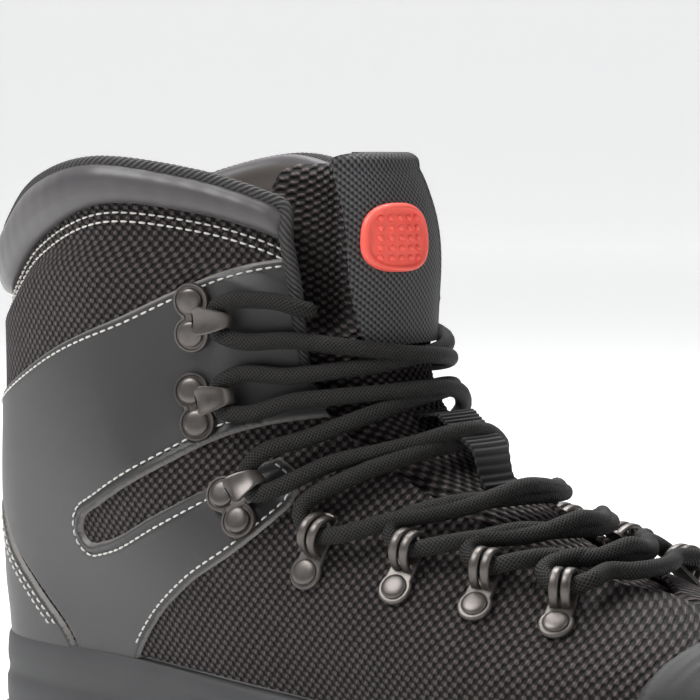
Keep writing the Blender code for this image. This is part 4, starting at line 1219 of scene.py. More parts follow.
def make_patch():
    """A soft square patch with a rounded rim and a plain field of small raised dots."""
    turn = np.linspace(0, 2 * np.pi, 96, endpoint=False)
    rings = np.array([patch_spot(share, turn, high * MM + 0 * turn) for share, high in PATCH_PROFILE])
    shape = Shape()
    shape.net(capped(rings), around=True)
    small = np.linspace(0, 2 * np.pi, 16, endpoint=False)
    for row in range(-2, 3):
        for place in range(-2, 3):
            y0 = patch_middle() + place * DOT_ACROSS
            z0 = PATCH_LEVEL + row * DOT_UP
            dot = []
            for share, high in DOT_PROFILE:
                y = y0 + share * DOT_RADIUS * np.cos(small)
                z = z0 + share * DOT_RADIUS * np.sin(small)
                dot.append(on_strap(y, z, high * MM))
            shape.net(capped(np.array(dot)), around=True)
    return shape.piece("dotted_patch", patch_finish(), "strap_patch", slot="patch")


def make_keeper():
    """The ribbed loop that holds the lace: a short tape arched over it."""
    count, columns = 180, 25
    rings = []
    uvs = []
    spread = np.linspace(-1, 1, columns)
    for step in np.linspace(-1, 1, count):
        z = KEEPER_LEVEL + step * KEEPER_LENGTH / 2
        y = spread * KEEPER_WIDTH / 2 + SIDE_SHIFT
        high = -0.2 * MM + (sizes().lace_diameter + KEEPER_SLACK) * ease((1 - abs(step)) / 0.55)
        rib = 0.16 * MM * np.sin(2 * np.pi * z / sizes().keeper_rib) + 0 * y
        way = way_at(y, z)
        lower = surface(way, z + 0 * y, high + 0 * y)
        upper = surface(way, z + 0 * y, high + 1.2 * MM + rib)
        rings.append(np.concatenate([upper, lower[::-1]]))
        row = np.concatenate([y, y[::-1], y[:1]])
        uvs.append(np.stack([np.full(len(row), z), row], -1))
    rings = capped(np.array(rings))
    uv = np.array(uvs)
    uv = np.concatenate([uv[:1], uv, uv[-1:]])
    shape = Shape()
    shape.net(rings, uv, around=True)
    finish = ribbed_finish("keeper tape", shade(tint("strap"), 0.4), sizes().keeper_rib)
    return shape.piece("ribbed_keeper", finish, "lace_keeper", slot="webbing")


class Seat:
    """A place on the upper: along points to the throat, up rises with the surface, out leaves it."""

    def __init__(self, way, level, lean, side, lift):
        z = level * COLLAR_HEIGHT
        self.out = outward(side * way, z)
        rise = np.array((0.0, 0.0, 1.0))
        rise = rise - self.out * (rise @ self.out)
        rise /= np.linalg.norm(rise)
        front = np.cross(rise, self.out) * -side
        turn = math.radians(lean)
        self.up = rise * math.cos(turn) - front * math.sin(turn)
        self.along = front * math.cos(turn) + rise * math.sin(turn)
        self.foot = surface(side * way, z, 0.0) + self.out * lift

    def at(self, along, up, out):
        along, up, out = np.broadcast_arrays(along, up, out)
        return (self.foot + self.along * along[..., None] + self.up * up[..., None]
                + self.out * out[..., None])


def hook_seat(index, side):
    return Seat(*HOOKS[index], side, PLATE_GAP + sizes().panel_thickness + 0.6 * MM)


def loop_seat(index, side):
    """Here along runs up the instep, under the rails."""
    way, level, lean = LOOPS[index]
    return Seat(way, level, 90.0 - lean, side, 0.7 * MM)


def figure_eight(radius, half, count=26):
    """Outline of a plate round two rivets: two arcs that meet at the waist."""
    open_angle = math.asin(min(0.98, half / radius)) * 0.86
    points = []
    for centre, start in ((half, -open_angle), (-half, math.pi - open_angle)):
        turn = np.linspace(start, start + math.pi + 2 * open_angle, count)
        points.append(np.stack([radius * np.cos(turn), centre + radius * np.sin(turn)], -1))
    return np.concatenate(points)


def add_plate(shape, seat, outlines):
    """Rings of a plate, each an outline with its height, closed above and below."""
    rings = np.array([seat.at(ring[:, 0], ring[:, 1], high) for ring, high in outlines])
    shape.net(capped(rings), around=True)


# A rivet head from its foot to its crown: share of its radius, and height in millimetres.
RIVET_PROFILE = ((0.90, -0.4), (0.93, 0.1), (0.93, 0.5), (0.90, 0.66), (0.85, 0.80), (0.77, 0.98),
                 (0.64, 1.13), (0.45, 1.24), (0.25, 1.29), (0.1, 1.30))


def add_rivet(shape, seat, along, up, base):
    """A rivet head: a shouldered dome turned about its axis."""
    turn = np.linspace(0, 2 * np.pi, 32, endpoint=False)
    rings = [seat.at(along + share * RIVET / 2 * np.cos(turn), up + share * RIVET / 2 * np.sin(turn),
                     base + high * MM) for share, high in RIVET_PROFILE]
    shape.net(capped(np.array(rings)), around=True)


# The hook's bill down its length: along, out and width in millimetres.
BILL = ((0.6, 0.75, 5.4), (9.0, 0.75, 5.0), (12.2, 1.9, 4.4), (13.2, 4.4, 4.4),
        (12.0, 7.0, 5.2), (8.5, 8.4, 7.2), (4.6, 8.7, 8.4), (3.6, 8.55, 8.0))


def add_bill(shape, seat):
    """The bill: a rounded flat section carried up from the plate and back over it, dished at its tip."""
    course = smooth_path(np.array(BILL) * MM, 0.35 * MM)
    run = unit(np.gradient(course[:, :2], axis=0))
    normal = np.stack([-run[:, 1], run[:, 0]], -1)
    turn = np.linspace(0, 2 * np.pi, 24, endpoint=False)
    across = soft_power(np.cos(turn), 0.55)
    face = soft_power(np.sin(turn), 0.7)
    reach = run_along(course[:, :2])
    tip = np.clip((reach[-1] - reach) / (2.2 * MM), 0, 1)
    tip = np.sqrt(1 - (1 - tip) ** 2) * 0.94 + 0.06
    dish = ease((reach - 0.55 * reach[-1]) / (0.3 * reach[-1])) * 0.9 * MM
    rings = []
    for spot, way, width, round_end, hollow in zip(course, normal, course[:, 2], tip, dish):
        side = across * width / 2 * (0.55 + 0.45 * round_end)
        lift = face * BILL_THICK / 2 * round_end - hollow * (across**2 - 0.4)
        rings.append(seat.at(spot[0] + lift * way[0], side, spot[1] + lift * way[1]))
    shape.net(capped(np.array(rings)), around=True)


def make_hooks():
    """Speed hooks: a rimmed figure-eight plate, two rivets and the bill, three on each side."""
    finish = metal_finish()
    half = RIVET_PITCH / 2
    for name, side in SIDES:
        for index in range(len(HOOKS)):
            seat = hook_seat(index, side)
            shape = Shape()
            rim = [(figure_eight(PLATE_RADIUS, half), 0.0), (figure_eight(PLATE_RADIUS, half), 1.0 * MM),
                   (figure_eight(PLATE_RADIUS - 0.2 * MM, half), 1.4 * MM),
                   (figure_eight(PLATE_RADIUS - 0.75 * MM, half), 1.4 * MM),
                   (figure_eight(PLATE_RADIUS - 0.95 * MM, half), 1.05 * MM)]
            add_plate(shape, seat, rim)
            add_bill(shape, seat)
            label = f"{name}_{index + 1}"
            shape.piece(f"speed_hook_{label}", finish, f"hook_{label}", slot="gunmetal")
            for place, sign in (("top", 1), ("low", -1)):
                shape = Shape()
                add_rivet(shape, seat, 0.0, sign * half, PLATE_THICK)
                shape.piece(f"rivet_head_{label}_{place}", finish, f"hook_rivet_{label}_{place}",
                            slot="gunmetal")


def rail_start():
    return RIVET / 2 + RAIL / 2 + 1.5 * CLEARANCE


def make_loops():
    """Lace loops: a drop-shaped plate, a rivet and two arched rails, four on each side."""
    finish = metal_finish()
    start = rail_start()
    turn = np.linspace(0, np.pi, 26)
    back = np.linspace(0.3 * np.pi, 1.7 * np.pi, 30)
    for name, side in SIDES:
        for index in range(len(LOOPS)):
            seat = loop_seat(index, side)
            shape = Shape()
            outlines = []
            for inset, high in ((0.0, 0.0), (0.0, 0.9 * MM), (0.25 * MM, 1.2 * MM), (0.6 * MM, 1.25 * MM)):
                radius = 0.62 * RIVET - inset
                half = RAIL_PITCH / 2 + RAIL / 2 + 0.6 * MM - inset
                nose = start + RAIL_SPAN + 1.5 * MM - inset
                cap = np.linspace(-np.pi / 2, np.pi / 2, 16)
                tip = np.stack([nose - 2 * MM + 2 * MM * np.cos(cap), half * np.sin(cap)], -1)
                arc = np.stack([radius * np.cos(back), radius * np.sin(back)], -1)
                outlines.append((np.concatenate([arc, tip]), high))
            add_plate(shape, seat, outlines)
            for sign in (-1, 1):
                arch = seat.at(start + RAIL_SPAN / 2 * (1 + np.cos(turn)), sign * RAIL_PITCH / 2,
                               0.9 * MM + 7.2 * MM * np.sin(turn))
                shape.net(flat_rings(arch, seat.up, 0.62 * RAIL, 0.36 * RAIL, 18), around=True)
            label = f"{name}_{index + 1}"
            shape.piece(f"loop_rails_{label}", finish, f"lace_loop_{label}", slot="gunmetal")
            shape = Shape()
            add_rivet(shape, seat, 0.0, 0.0, 1.2 * MM)
            shape.piece(f"loop_head_{label}", finish, f"loop_rivet_{label}", slot="gunmetal")


# The lace

LACE_LIFT = 5.4 * MM
LACE_LOW = 4.6 * MM
# The lace's course round a hook's stem: along, up and out in millimetres.
ROUND_HOOK = ((13.2, 5.3, 4.7), (9.8, 3.9, 4.5), (8.2, 0.0, 4.4), (9.8, -3.9, 4.5), (13.2, -5.3, 4.7))
# The lace and its ends meet at this point of that course.
HOOK_TURN = 2
# A lace end on its way in behind the throat: height and lift in millimetres.
END_HEIGHTS = (0.0, 1.8, 1.2, -0.6, -1.6, -2.0, -2.0)
END_LIFTS = (5.0, 5.6, 5.2, 4.2, 1.6, -1.2, -3.4)


def lace_exits(index, side):
    """Where the lace leaves eyelet index: (upper, lower) as way and height, as in the solids."""
    if index < len(HOOKS):
        seat = hook_seat(index, side)
        spots = (seat.at(17.0 * MM, 4.2 * MM, 0.0), seat.at(17.0 * MM, -4.2 * MM, 0.0))
    else:
        seat = loop_seat(index - len(HOOKS), side)
        spots = (seat.at(20 * MM, 6.5 * MM, 0.0), seat.at(14 * MM, -8.4 * MM, 0.0))
    ways = side * np.linspace(0.3, 1.0, 701)
    found = []
    for spot in spots:
        near = np.linalg.norm(oval(ways, spot[2]) - spot, axis=-1).argmin()
        found.append((abs(float(ways[near])), float(spot[2])))
    return found


def strand(start, end, middle, side, over):
    """A stretch of lace from one side to the other, over or under the one that it crosses."""
    rise = middle - (start[1] + end[1]) / 2
    t = np.array((0.0, 0.12, 0.24, 0.34, 0.42, 0.5, 0.58, 0.66, 0.76, 0.88, 1.0))
    turn = -side * (1 - start[0]) + t * side * (1 - start[0] + 1 - end[0])
    way = np.where(turn * side < 0, side * (1 - np.abs(turn)), -side * (1 - np.abs(turn)))
    z = start[1] + (end[1] - start[1]) * t + rise * 4 * t * (1 - t)
    settle = ease(np.minimum(t, 1 - t) / 0.3)
    cross = (3.6 if over > 0 else -0.6) * abs(over) * MM
    lift = LACE_LIFT + (LACE_LOW - LACE_LIFT) * settle + cross * bump_at(t, 0.5, 0.13)
    return surface(way, z, lift)


def through_eyelet(index, side):
    """The lace's course round a hook's stem or under a loop's rails, from its upper to its lower exit."""
    if index < len(HOOKS):
        seat = hook_seat(index, side)
        spots = np.array(ROUND_HOOK)
    else:
        seat = loop_seat(index - len(HOOKS), side)
        middle = (rail_start() + RAIL_SPAN / 2) / MM
        spots = np.array(((middle + 3.0, 6.2, 4.6), (middle, 3.0, 3.9), (middle, -2.4, 3.9),
                          (middle + 1.2, -6.0, 4.6)))
    return seat.at(*(spots.T * MM))


def lace_run(step):
    """The laced course from one top hook down to the lowest loop, across and up to the other top hook."""
    eyelets = len(HOOKS) + len(LOOPS)
    halves = []
    for first in (-1, 1):
        side = first
        course = [through_eyelet(0, side)[HOOK_TURN:]]
        for index, level in enumerate(CROSSINGS):
            start = lace_exits(index, side)[1]
            end = lace_exits(index + 1, -side)[0]
            over = 1 if (index % 2 == 0) == (first < 0) else -1
            course.append(strand(start, end, level * COLLAR_HEIGHT, side, over)[1:-1])
            side = -side
            course.append(through_eyelet(index + 1, side))
        halves.append((np.concatenate(course), side))
    (down, last_side), (other, _) = halves
    start = lace_exits(eyelets - 1, last_side)[1]
    end = lace_exits(eyelets - 1, -last_side)[1]
    bar = strand(start, end, BAR_LEVEL * COLLAR_HEIGHT, last_side, 0)[1:-1]
    return smooth_path(np.concatenate([down, bar, other[::-1]]), step)


def end_route(side):
    """Points of a lace end from the top hook's stem to where it goes in behind the throat's edge."""
    way, z = lace_exits(0, side)[0]
    edge = float(throat_way(z))
    ways = np.array((way, way + 0.3 * (edge - way), way + 0.7 * (edge - way), edge + 0.006, edge + 0.020,
                     edge + 0.014, edge - 0.006))
    heights = z + np.array(END_HEIGHTS) * MM
    lifts = np.array(END_LIFTS) * MM
    turn = through_eyelet(0, side)[:HOOK_TURN + 1]
    return smooth_path(np.concatenate([turn[::-1], surface(side * ways, heights, lifts)[1:]]), 0.8 * MM)


def make_laces():
    """The braided lace: one round tube through every eyelet, and an end on each side."""
    finish = lace_finish()
    thick = sizes().lace_diameter
    shape = Shape()
    rings, uv = tube(lace_run(0.9 * MM), thick / 2, 16)
    shape.net(rings, uv, around=True)
    crossings = [f"lace_cross_{index + 1}" for index in range(len(CROSSINGS))]
    shape.piece("laced_cord", finish, "lace_bar", *crossings, slot="lace")
    for name, side in SIDES:
        path = end_route(side)
        shape = Shape()
        rings, uv = tube(path, thick / 2, 16)
        shape.net(rings, uv, around=True)
        made = shape.piece(f"tucked_end_{name}", finish, f"lace_end_{name}", slot="lace")


# Stitching

def on_side(line, side, offset):
    """A side-view line laid on the upper, with the surface's normals."""
    way = side_way(line[:, 0], line[:, 1], side)
    return surface(way, line[:, 1], offset - collar_inset(way, line[:, 1])), outward(way, line[:, 1])


def shifted(line, reach):
    """A side-view line moved sideways: to its left where reach is positive."""
    run = unit(np.gradient(line, axis=0))
    moved = line + np.stack([-run[:, 1], run[:, 0]], -1) * reach
    return smooth_path(moved[::4], 0.6 * MM)


def trimmed(line, low_x, high_x):
    return line[(line[:, 0] > low_x) & (line[:, 0] < high_x)]


def make_stitching():
    """Rows of white stitches: two under the padded collar, one inside each edge of the side panels and
    round their slots, and two along the heel seam."""
    shape = Shape()
    pitch, length, width = sizes().stitch_pitch, sizes().stitch_length, sizes().stitch_width
    for drop in (2.9 * MM, 5.5 * MM):
        way = np.linspace(-0.755, 0.755, 500)
        fall = pair_curve(BAND_DROP, np.abs(way))
        level = collar_line(way) - fall - drop
        path = surface(way, level, 0.15 * MM - collar_inset(way, level))
        stitches(shape, path, outward(way, level), pitch, length, width)
    thick = sizes().panel_thickness + PANEL_GAP
    heel = HEEL_X + 0.02 * UPPER_LENGTH
    for _, side in SIDES:
        top = trimmed(shifted(dense(PANEL_TOP), -1.9 * MM), heel, HEEL_X + 0.425 * UPPER_LENGTH)
        slot = trimmed(shifted(dense(SLOT), -3.3 * MM), heel, HEEL_X + 0.415 * UPPER_LENGTH)
        finger = trimmed(shifted(dense(FINGER), -1.9 * MM), HEEL_X + 0.25 * UPPER_LENGTH, 1.0)
        for line in (top, slot, finger):
            stitches(shape, *on_side(line, side, thick), pitch, length, width)
        for reach in (1.8 * MM, 4.2 * MM):
            seam = shifted(dense(COUNTER_SEAM), -reach)
            seam = seam[(seam[:, 1] > 42 * MM) & (seam[:, 0] > heel)]
            stitches(shape, *on_side(seam, side, 1.5 * MM + PANEL_GAP), pitch, length, width)
    return shape.piece("white_stitching", thread_finish())


# Soles

def make_midsole():
    """The foam wedge: a section with a rib along each side, carried from heel to toe."""
    rings = []
    for x in stations(MIDSOLE_RIM, 150):
        outer, inner = (float(v) for v in outline(x, MIDSOLE_RIM))
        low = float(underside(x)) + LUG_DEPTH + OUTSOLE_BASE
        high = float(feather(x))
        tall = high - low
        reach = min(1.0 * MM, 0.1 * (inner - outer))
        levels = np.array((0.0, 0.12, 0.2, 0.30, 0.42, 0.48, 0.56, 0.66, 0.75, 0.86, 0.96, 1.0))
        depth = np.array((0.9, 0.35, 0.1, 0.0, 0.0, 0.8, 1.1, 0.4, 0.3, 0.5, 0.9, 1.6)) * reach
        left = [(x, outer + d, low + tall * level) for level, d in zip(levels, depth)]
        right = [(x, inner - d, low + tall * level) for level, d in zip(levels, depth)]
        rings.append(left + right[::-1])
    shape = Shape()
    shape.net(capped(np.array(rings)), around=True)
    shape.piece("foam_wedge", rubber_finish("midsole foam", tint("foam"), 0.7 * MM, 0.05 * MM), "midsole",
                slot="midsole_foam")


def add_lug(shape, start, end, left, right):
    """One lug: a block whose sides lean out to its root and whose lower edges are rounded."""
    corner = ((start, left), (end, left), (end, right), (start, right))
    middle_x = (start + end) / 2
    middle_y = (left + right) / 2
    rings = []
    for shrink, high in ((0.80, 0.0), (0.93, 0.25), (0.98, 0.9), (1.0, 2.2), (1.04, 5.0), (1.06, 6.2)):
        ring = []
        for i, (x_share, y_share) in enumerate(corner):
            other_x, other_y = corner[(i + 1) % 4]
            for t in np.linspace(0, 1, 7)[:-1]:
                xs = x_share + (other_x - x_share) * t
                ys = y_share + (other_y - y_share) * t
                xs = middle_x + (xs - middle_x) * shrink
                ys = middle_y + (ys - middle_y) * (0.5 + 0.5 * shrink)
                x = HEEL_X + xs * UPPER_LENGTH
                outer, inner = outline(np.array(x), SOLE_RIM)
                y = (outer + inner) / 2 + np.clip(ys, -0.99, 0.99) * (inner - outer) / 2
                ring.append((x, float(y), float(underside(x)) + high * MM))
        rings.append(ring)
    shape.net(capped(np.array(rings)), around=True)


def make_outsole():
    """The rubber sole: a slab with a stepped side, carried from heel to toe, and its rows of lugs."""
    rings = []
    for x in stations(SOLE_RIM, 150):
        outer, inner = (float(v) for v in outline(x, SOLE_RIM))
        low = float(underside(x)) + LUG_DEPTH
        reach = min(1.5 * MM, 0.2 * (inner - outer))
        levels = np.array((0.0, 0.4, 1.5, 2.6, 3.0, 3.4, 4.2, 4.8, 5.0)) * MM
        depth = np.array((1.0, 0.35, 0.0, 0.05, 0.35, 0.05, 0.0, 0.35, 1.0)) * reach
        left = [(x, outer + d, low + level) for level, d in zip(levels, depth)]
        right = [(x, inner - d, low + level) for level, d in zip(levels, depth)]
        rings.append(left + right[::-1])
    shape = Shape()
    shape.net(capped(np.array(rings)), around=True)
    groups = ((HEEL_LUGS, TWO_ACROSS), (WAIST_LUGS, EDGES_ONLY), (BALL_LUGS, THREE_ACROSS),
              (TOE_LUGS, TWO_ACROSS))
    for rows, across in groups:
        for start, end in rows:
            for left, right in across:
                add_lug(shape, start, end, left, right)
    shape.piece("lugged_sole", rubber_finish("outsole rubber", tint("rubber")), "outsole", slot="rubber")


def make_insole():
    """The footbed: a shallow dished sheet with raised edges."""
    rings = []
    for x in stations(-INSOLE_INSET - 2.5 * MM, 90):
        outer, inner = (float(v) for v in outline(x, -INSOLE_INSET))
        low = float(feather(x)) + CLEARANCE
        spread = np.linspace(-1, 1, 21)
        y = (outer + inner) / 2 + spread * (inner - outer) / 2
        top = low + INSOLE_THICK * (0.6 + 0.4 * np.abs(spread) ** 4)
        upper = np.stack([np.full(21, x), y, top], -1)
        lower = np.stack([np.full(21, x), y[::-1], np.full(21, low)], -1)
        rings.append(np.concatenate([upper, lower]))
    shape = Shape()
    shape.net(capped(np.array(rings)), around=True)
    shape.piece("footbed", rubber_finish("lining felt", tint("lining"), 0.4 * MM, 0.15 * MM), "insole",
                slot="lining")


# Stage, lights and camera

CAMERA_AZIMUTH = 38.0
CAMERA_HEIGHT = 4.0
CAMERA_REACH = 1.0
CAMERA_TARGET = Vector((-0.025, -0.0008, 0.128))
SENSOR = 36.0
LENS = 174.86
FLOOR_AHEAD = 8.0
FLOOR_HALF = 8.0
WALL_START = 4.0
WALL_BEND = 1.5
WALL_TOP = 6.0
FLOOR_GAP = 0.2 * MM


def direction_from(azimuth, height):
    """Unit vector from the boot to a place seen at these angles, azimuth 0 being the outer side."""
    a, h = math.radians(azimuth), math.radians(height)
    return Vector((math.sin(a) * math.cos(h), -math.cos(a) * math.cos(h), math.sin(h)))


def area_light(name, azimuth, height, reach, width, power):
    made = bpy.data.lights.new(name, "AREA")
    made.shape = "DISK"
    made.size = width
    made.energy = power
    lamp = bpy.data.objects.new(name, made)
    lamp.location = CAMERA_TARGET + direction_from(azimuth, height) * reach
    lamp.rotation_euler = (lamp.location - CAMERA_TARGET).to_track_quat("Z", "Y").to_euler()
    bpy.context.scene.collection.objects.link(lamp)


def make_stage():
    """A pale sweep: a flat floor that curves up behind the boot, as a profile drawn across."""
    back = direction_from(CAMERA_AZIMUTH + 180, 0)
    across = Vector((back.y, -back.x, 0))
    turn = np.linspace(0, np.pi / 2, 16)
    bend = [(WALL_START + WALL_BEND * math.sin(t), WALL_BEND * (1 - math.cos(t))) for t in turn]
    profile = [(-FLOOR_AHEAD, 0.0)] + bend + [(WALL_START + WALL_BEND, WALL_TOP)]
    points = []
    for away, high in profile:
        for side in np.linspace(-FLOOR_HALF, FLOOR_HALF, 5):
            spot = back * away + across * float(side)
            points.append((spot.x, spot.y, high - FLOOR_GAP))
    mesh = bpy.data.meshes.new("pale_sweep")
    faces = []
    for r in range(len(profile) - 1):
        for c in range(4):
            faces.append((r * 5 + c, r * 5 + c + 1, (r + 1) * 5 + c + 1, (r + 1) * 5 + c))
    mesh.from_pydata(points, [], faces)
    mesh.shade_smooth()
    made = bpy.data.objects.new("pale_sweep", mesh)
    bpy.context.scene.collection.objects.link(made)
    finish = Finish("paper", 0.9, specular=0.1)
    finish.feed("Base Color", (*tint("paper"), 1.0))
    parts = finish.node("ShaderNodeSeparateXYZ", None, {0: finish.position()})
    x, y, z = (Value(finish, socket) for socket in parts.outputs)
    away = ((x * x + y * y + z * z) ** 0.5).above(0.75, 1.1)
    finish.feed("Emission Color", finish.mix(away, shade(tint("paper"), 0.15), tint("paper")))
    finish.feed("Emission Strength", 0.65)
    mesh.materials.append(finish.material)
    world = bpy.context.scene.world or bpy.data.worlds.new("studio")
    bpy.context.scene.world = world
    world.use_nodes = True
    background = world.node_tree.nodes["Background"]
    background.inputs[0].default_value = (0.93, 0.95, 1.0, 1.0)
    background.inputs[1].default_value = 0.16
    area_light("key", CAMERA_AZIMUTH - 62, 50, 1.3, 0.7, 15)
    area_light("side_fill", CAMERA_AZIMUTH + 50, 30, 1.4, 0.8, 3)
    area_light("top_back", CAMERA_AZIMUTH + 190, 66, 1.2, 0.8, 20)


def make_camera():
    """The photo's view: close on the collar and instep from the front of the outer side."""
    made = bpy.data.cameras.new("camera")
    made.lens = LENS
    made.sensor_width = SENSOR
    camera = bpy.data.objects.new("camera", made)
    camera.location = CAMERA_TARGET + direction_from(CAMERA_AZIMUTH, CAMERA_HEIGHT) * CAMERA_REACH
    camera.rotation_euler = (camera.location - CAMERA_TARGET).to_track_quat("Z", "Y").to_euler()
    bpy.context.scene.collection.objects.link(camera)
    bpy.context.scene.camera = camera
    settings = bpy.context.scene.view_settings
    settings.view_transform = "Standard"
    settings.look = "None"


# Settings that a user may change

def length_property(name, description, default, low, high):
    return bpy.props.FloatProperty(name=name, description=description, default=default, min=low, max=high,
                                   subtype="DISTANCE", unit="LENGTH", precision=5)


def colour_property(name, description, default):
    return bpy.props.FloatVectorProperty(name=name, description=description, default=default, size=3,
                                         min=0.0, max=1.0, subtype="COLOR")


class BootSizes(bpy.types.PropertyGroup):
    lace_diameter: length_property("Lace", "Diameter of the round lace", 5.0 * MM, 3 * MM, 6 * MM)
    braid_pitch: length_property("Braid", "Length of one strand's lozenge along the lace", 1.1 * MM,
                                 0.8 * MM, 4 * MM)
    knit_pitch: length_property("Body knit", "Distance between the pads of the body's mesh", 3.3 * MM,
                                1.5 * MM, 6 * MM)
    tongue_pitch: length_property("Tongue knit", "Distance between the pads of the tongue's mesh", 3.2 * MM,
                                  1.5 * MM, 7 * MM)
    rib_pitch: length_property("Binding ribs", "Distance between the binding's ribs", 1.9 * MM,
                               0.8 * MM, 4 * MM)
    keeper_rib: length_property("Keeper ribs", "Distance between the keeper's ribs", 1.0 * MM,
                                0.6 * MM, 3 * MM)
    weave_pitch: length_property("Strap weave", "Distance between the strap's slanted threads", 1.9 * MM,
                                 0.6 * MM, 4 * MM)
    stitch_pitch: length_property("Stitch spacing", "Distance from one stitch to the next", 2.9 * MM,
                                  1.5 * MM, 6 * MM)
    stitch_length: length_property("Stitch length", "Length of one stitch", 2.3 * MM, 1 * MM, 5 * MM)
    stitch_width: length_property("Stitch width", "Thickness of the thread", 0.62 * MM, 0.3 * MM, 1.2 * MM)
    panel_thickness: length_property("Panel", "Thickness of the leather panels", 1.1 * MM, 0.5 * MM, 2 * MM)


class BootColours(bpy.types.PropertyGroup):
    knit: colour_property("Knit", "Yarn of the body and the tongue", (0.070, 0.057, 0.055))
    # The padded collar takes this colour 2.1 to 3 times lighter as a painted highlight.
    leather: colour_property("Leather", "Smooth panels and the padded collar", (0.030, 0.028, 0.029))
    # The edge colour is a painted highlight along the panels' rolled cut edges.
    edge: colour_property("Edge", "Cut edges of the panels", (0.30, 0.285, 0.265))
    thread: colour_property("Thread", "Stitching", (0.74, 0.72, 0.68))
    lace: colour_property("Lace", "Braided lace", (0.0095, 0.009, 0.0085))
    strap: colour_property("Strap", "Pull strap and lace keeper", (0.070, 0.070, 0.072))
    binding: colour_property("Binding", "Ribbed binding", (0.050, 0.048, 0.047))
    patch: colour_property("Patch", "Soft patch on the strap", (0.95, 0.125, 0.09))
    metal: colour_property("Metal", "Hooks, loops and rivets", (0.120, 0.109, 0.102))
    rubber: colour_property("Rubber", "Outsole and toe guard", (0.030, 0.030, 0.031))
    foam: colour_property("Foam", "Midsole", (0.055, 0.055, 0.057))
    lining: colour_property("Lining", "Inside of the collar and the footbed", (0.11, 0.095, 0.085))
    paper: colour_property("Backdrop", "Floor and backdrop", (0.84, 0.84, 0.84))


# Operators, one for each piece or group of like pieces

class BOOT_OT_upper(bpy.types.Operator):
    """Build the knit body with its wall"""
    bl_idname = "boot.upper"
    bl_label = "Knit upper"

    def execute(self, context):
        make_upper()
        return {"FINISHED"}


class BOOT_OT_panels(bpy.types.Operator):
    """Build the leather side panels with their slots"""
    bl_idname = "boot.panels"
    bl_label = "Side panels"

    def execute(self, context):
        make_side_panels()
        return {"FINISHED"}


class BOOT_OT_counter(bpy.types.Operator):
    """Build the heel counter"""
    bl_idname = "boot.counter"
    bl_label = "Heel counter"

    def execute(self, context):
        make_heel_counter()
        return {"FINISHED"}


class BOOT_OT_toe_guard(bpy.types.Operator):
    """Build the rubber toe guard"""
    bl_idname = "boot.toe_guard"
    bl_label = "Toe guard"

    def execute(self, context):
        make_toe_cap()
        return {"FINISHED"}


class BOOT_OT_collar(bpy.types.Operator):
    """Build the padded collar"""
    bl_idname = "boot.collar"
    bl_label = "Padded collar"

    def execute(self, context):
        make_collar_band()
        return {"FINISHED"}


class BOOT_OT_binding(bpy.types.Operator):
    """Build the ribbed binding round the collar and the throat"""
    bl_idname = "boot.binding"
    bl_label = "Ribbed binding"

    def execute(self, context):
        make_binding()
        return {"FINISHED"}


class BOOT_OT_tongue(bpy.types.Operator):
    """Build the padded knit tongue"""
    bl_idname = "boot.tongue"
    bl_label = "Tongue"

    def execute(self, context):
        make_tongue()
        return {"FINISHED"}


class BOOT_OT_strap(bpy.types.Operator):
    """Build the folded pull strap and its patch"""
    bl_idname = "boot.strap"
    bl_label = "Pull strap"

    def execute(self, context):
        make_strap()
        make_patch()
        return {"FINISHED"}


class BOOT_OT_keeper(bpy.types.Operator):
    """Build the ribbed lace keeper"""
    bl_idname = "boot.keeper"
    bl_label = "Lace keeper"

    def execute(self, context):
        make_keeper()
        return {"FINISHED"}


class BOOT_OT_hooks(bpy.types.Operator):
    """Build the speed hooks with their rivets"""
    bl_idname = "boot.hooks"
    bl_label = "Speed hooks"

    def execute(self, context):
        make_hooks()
        return {"FINISHED"}


class BOOT_OT_loops(bpy.types.Operator):
    """Build the lace loops with their rivets"""
    bl_idname = "boot.loops"
    bl_label = "Lace loops"

    def execute(self, context):
        make_loops()
        return {"FINISHED"}


class BOOT_OT_laces(bpy.types.Operator):
    """Run the braided lace through the eyelets"""
    bl_idname = "boot.laces"
    bl_label = "Laces"

    def execute(self, context):
        make_laces()
        return {"FINISHED"}


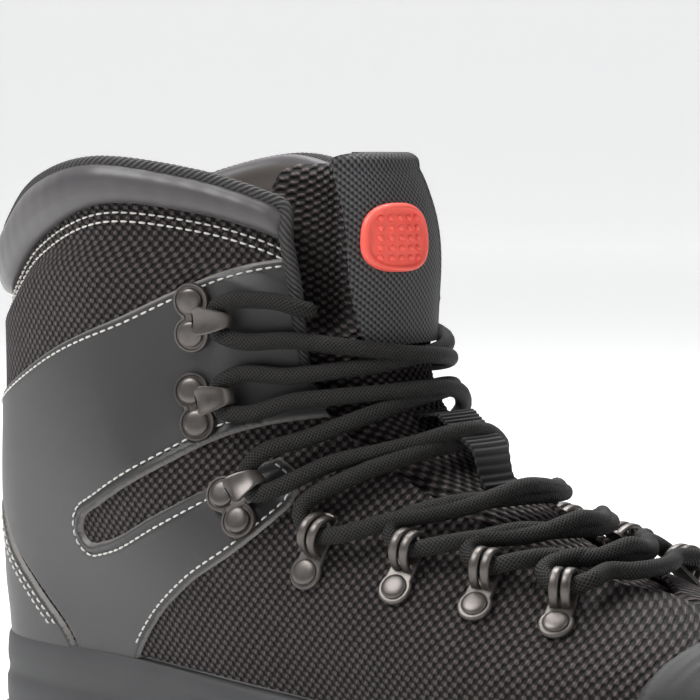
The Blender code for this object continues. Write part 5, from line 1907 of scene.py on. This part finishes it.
class BOOT_OT_stitching(bpy.types.Operator):
    """Sew the rows of white stitches"""
    bl_idname = "boot.stitching"
    bl_label = "Stitching"

    def execute(self, context):
        make_stitching()
        return {"FINISHED"}


class BOOT_OT_soles(bpy.types.Operator):
    """Build the outsole with its lugs, the midsole and the footbed"""
    bl_idname = "boot.soles"
    bl_label = "Soles"

    def execute(self, context):
        make_outsole()
        make_midsole()
        make_insole()
        return {"FINISHED"}


class BOOT_OT_stage(bpy.types.Operator):
    """Build the backdrop, the lights and the camera"""
    bl_idname = "boot.stage"
    bl_label = "Stage"

    def execute(self, context):
        make_camera()
        make_stage()
        return {"FINISHED"}


OPERATORS = (BOOT_OT_stage, BOOT_OT_upper, BOOT_OT_panels, BOOT_OT_counter, BOOT_OT_toe_guard,
             BOOT_OT_collar, BOOT_OT_binding, BOOT_OT_tongue, BOOT_OT_strap, BOOT_OT_keeper,
             BOOT_OT_hooks, BOOT_OT_loops, BOOT_OT_laces, BOOT_OT_stitching, BOOT_OT_soles)


class BOOT_PT_panel(bpy.types.Panel):
    bl_idname = "BOOT_PT_panel"
    bl_label = "Wading boot"
    bl_space_type = "VIEW_3D"
    bl_region_type = "UI"
    bl_category = "Boot"

    def draw(self, context):
        for group in (context.scene.wading_boot_sizes, context.scene.wading_boot_colours):
            box = self.layout.box()
            for name in group.__annotations__:
                box.prop(group, name)
        for operator in OPERATORS:
            self.layout.operator(operator.bl_idname)


CLASSES = (BootSizes, BootColours, *OPERATORS, BOOT_PT_panel)


def register():
    for each in CLASSES:
        bpy.utils.register_class(each)
    bpy.types.Scene.wading_boot_sizes = bpy.props.PointerProperty(type=BootSizes)
    bpy.types.Scene.wading_boot_colours = bpy.props.PointerProperty(type=BootColours)


def unregister():
    del bpy.types.Scene.wading_boot_colours
    del bpy.types.Scene.wading_boot_sizes
    for each in reversed(CLASSES):
        bpy.utils.unregister_class(each)


def main():
    """Builds every piece in order."""
    register()
    for operator in OPERATORS:
        group, name = operator.bl_idname.split(".")
        getattr(getattr(bpy.ops, group), name)()


if __name__ == "__main__":
    main()
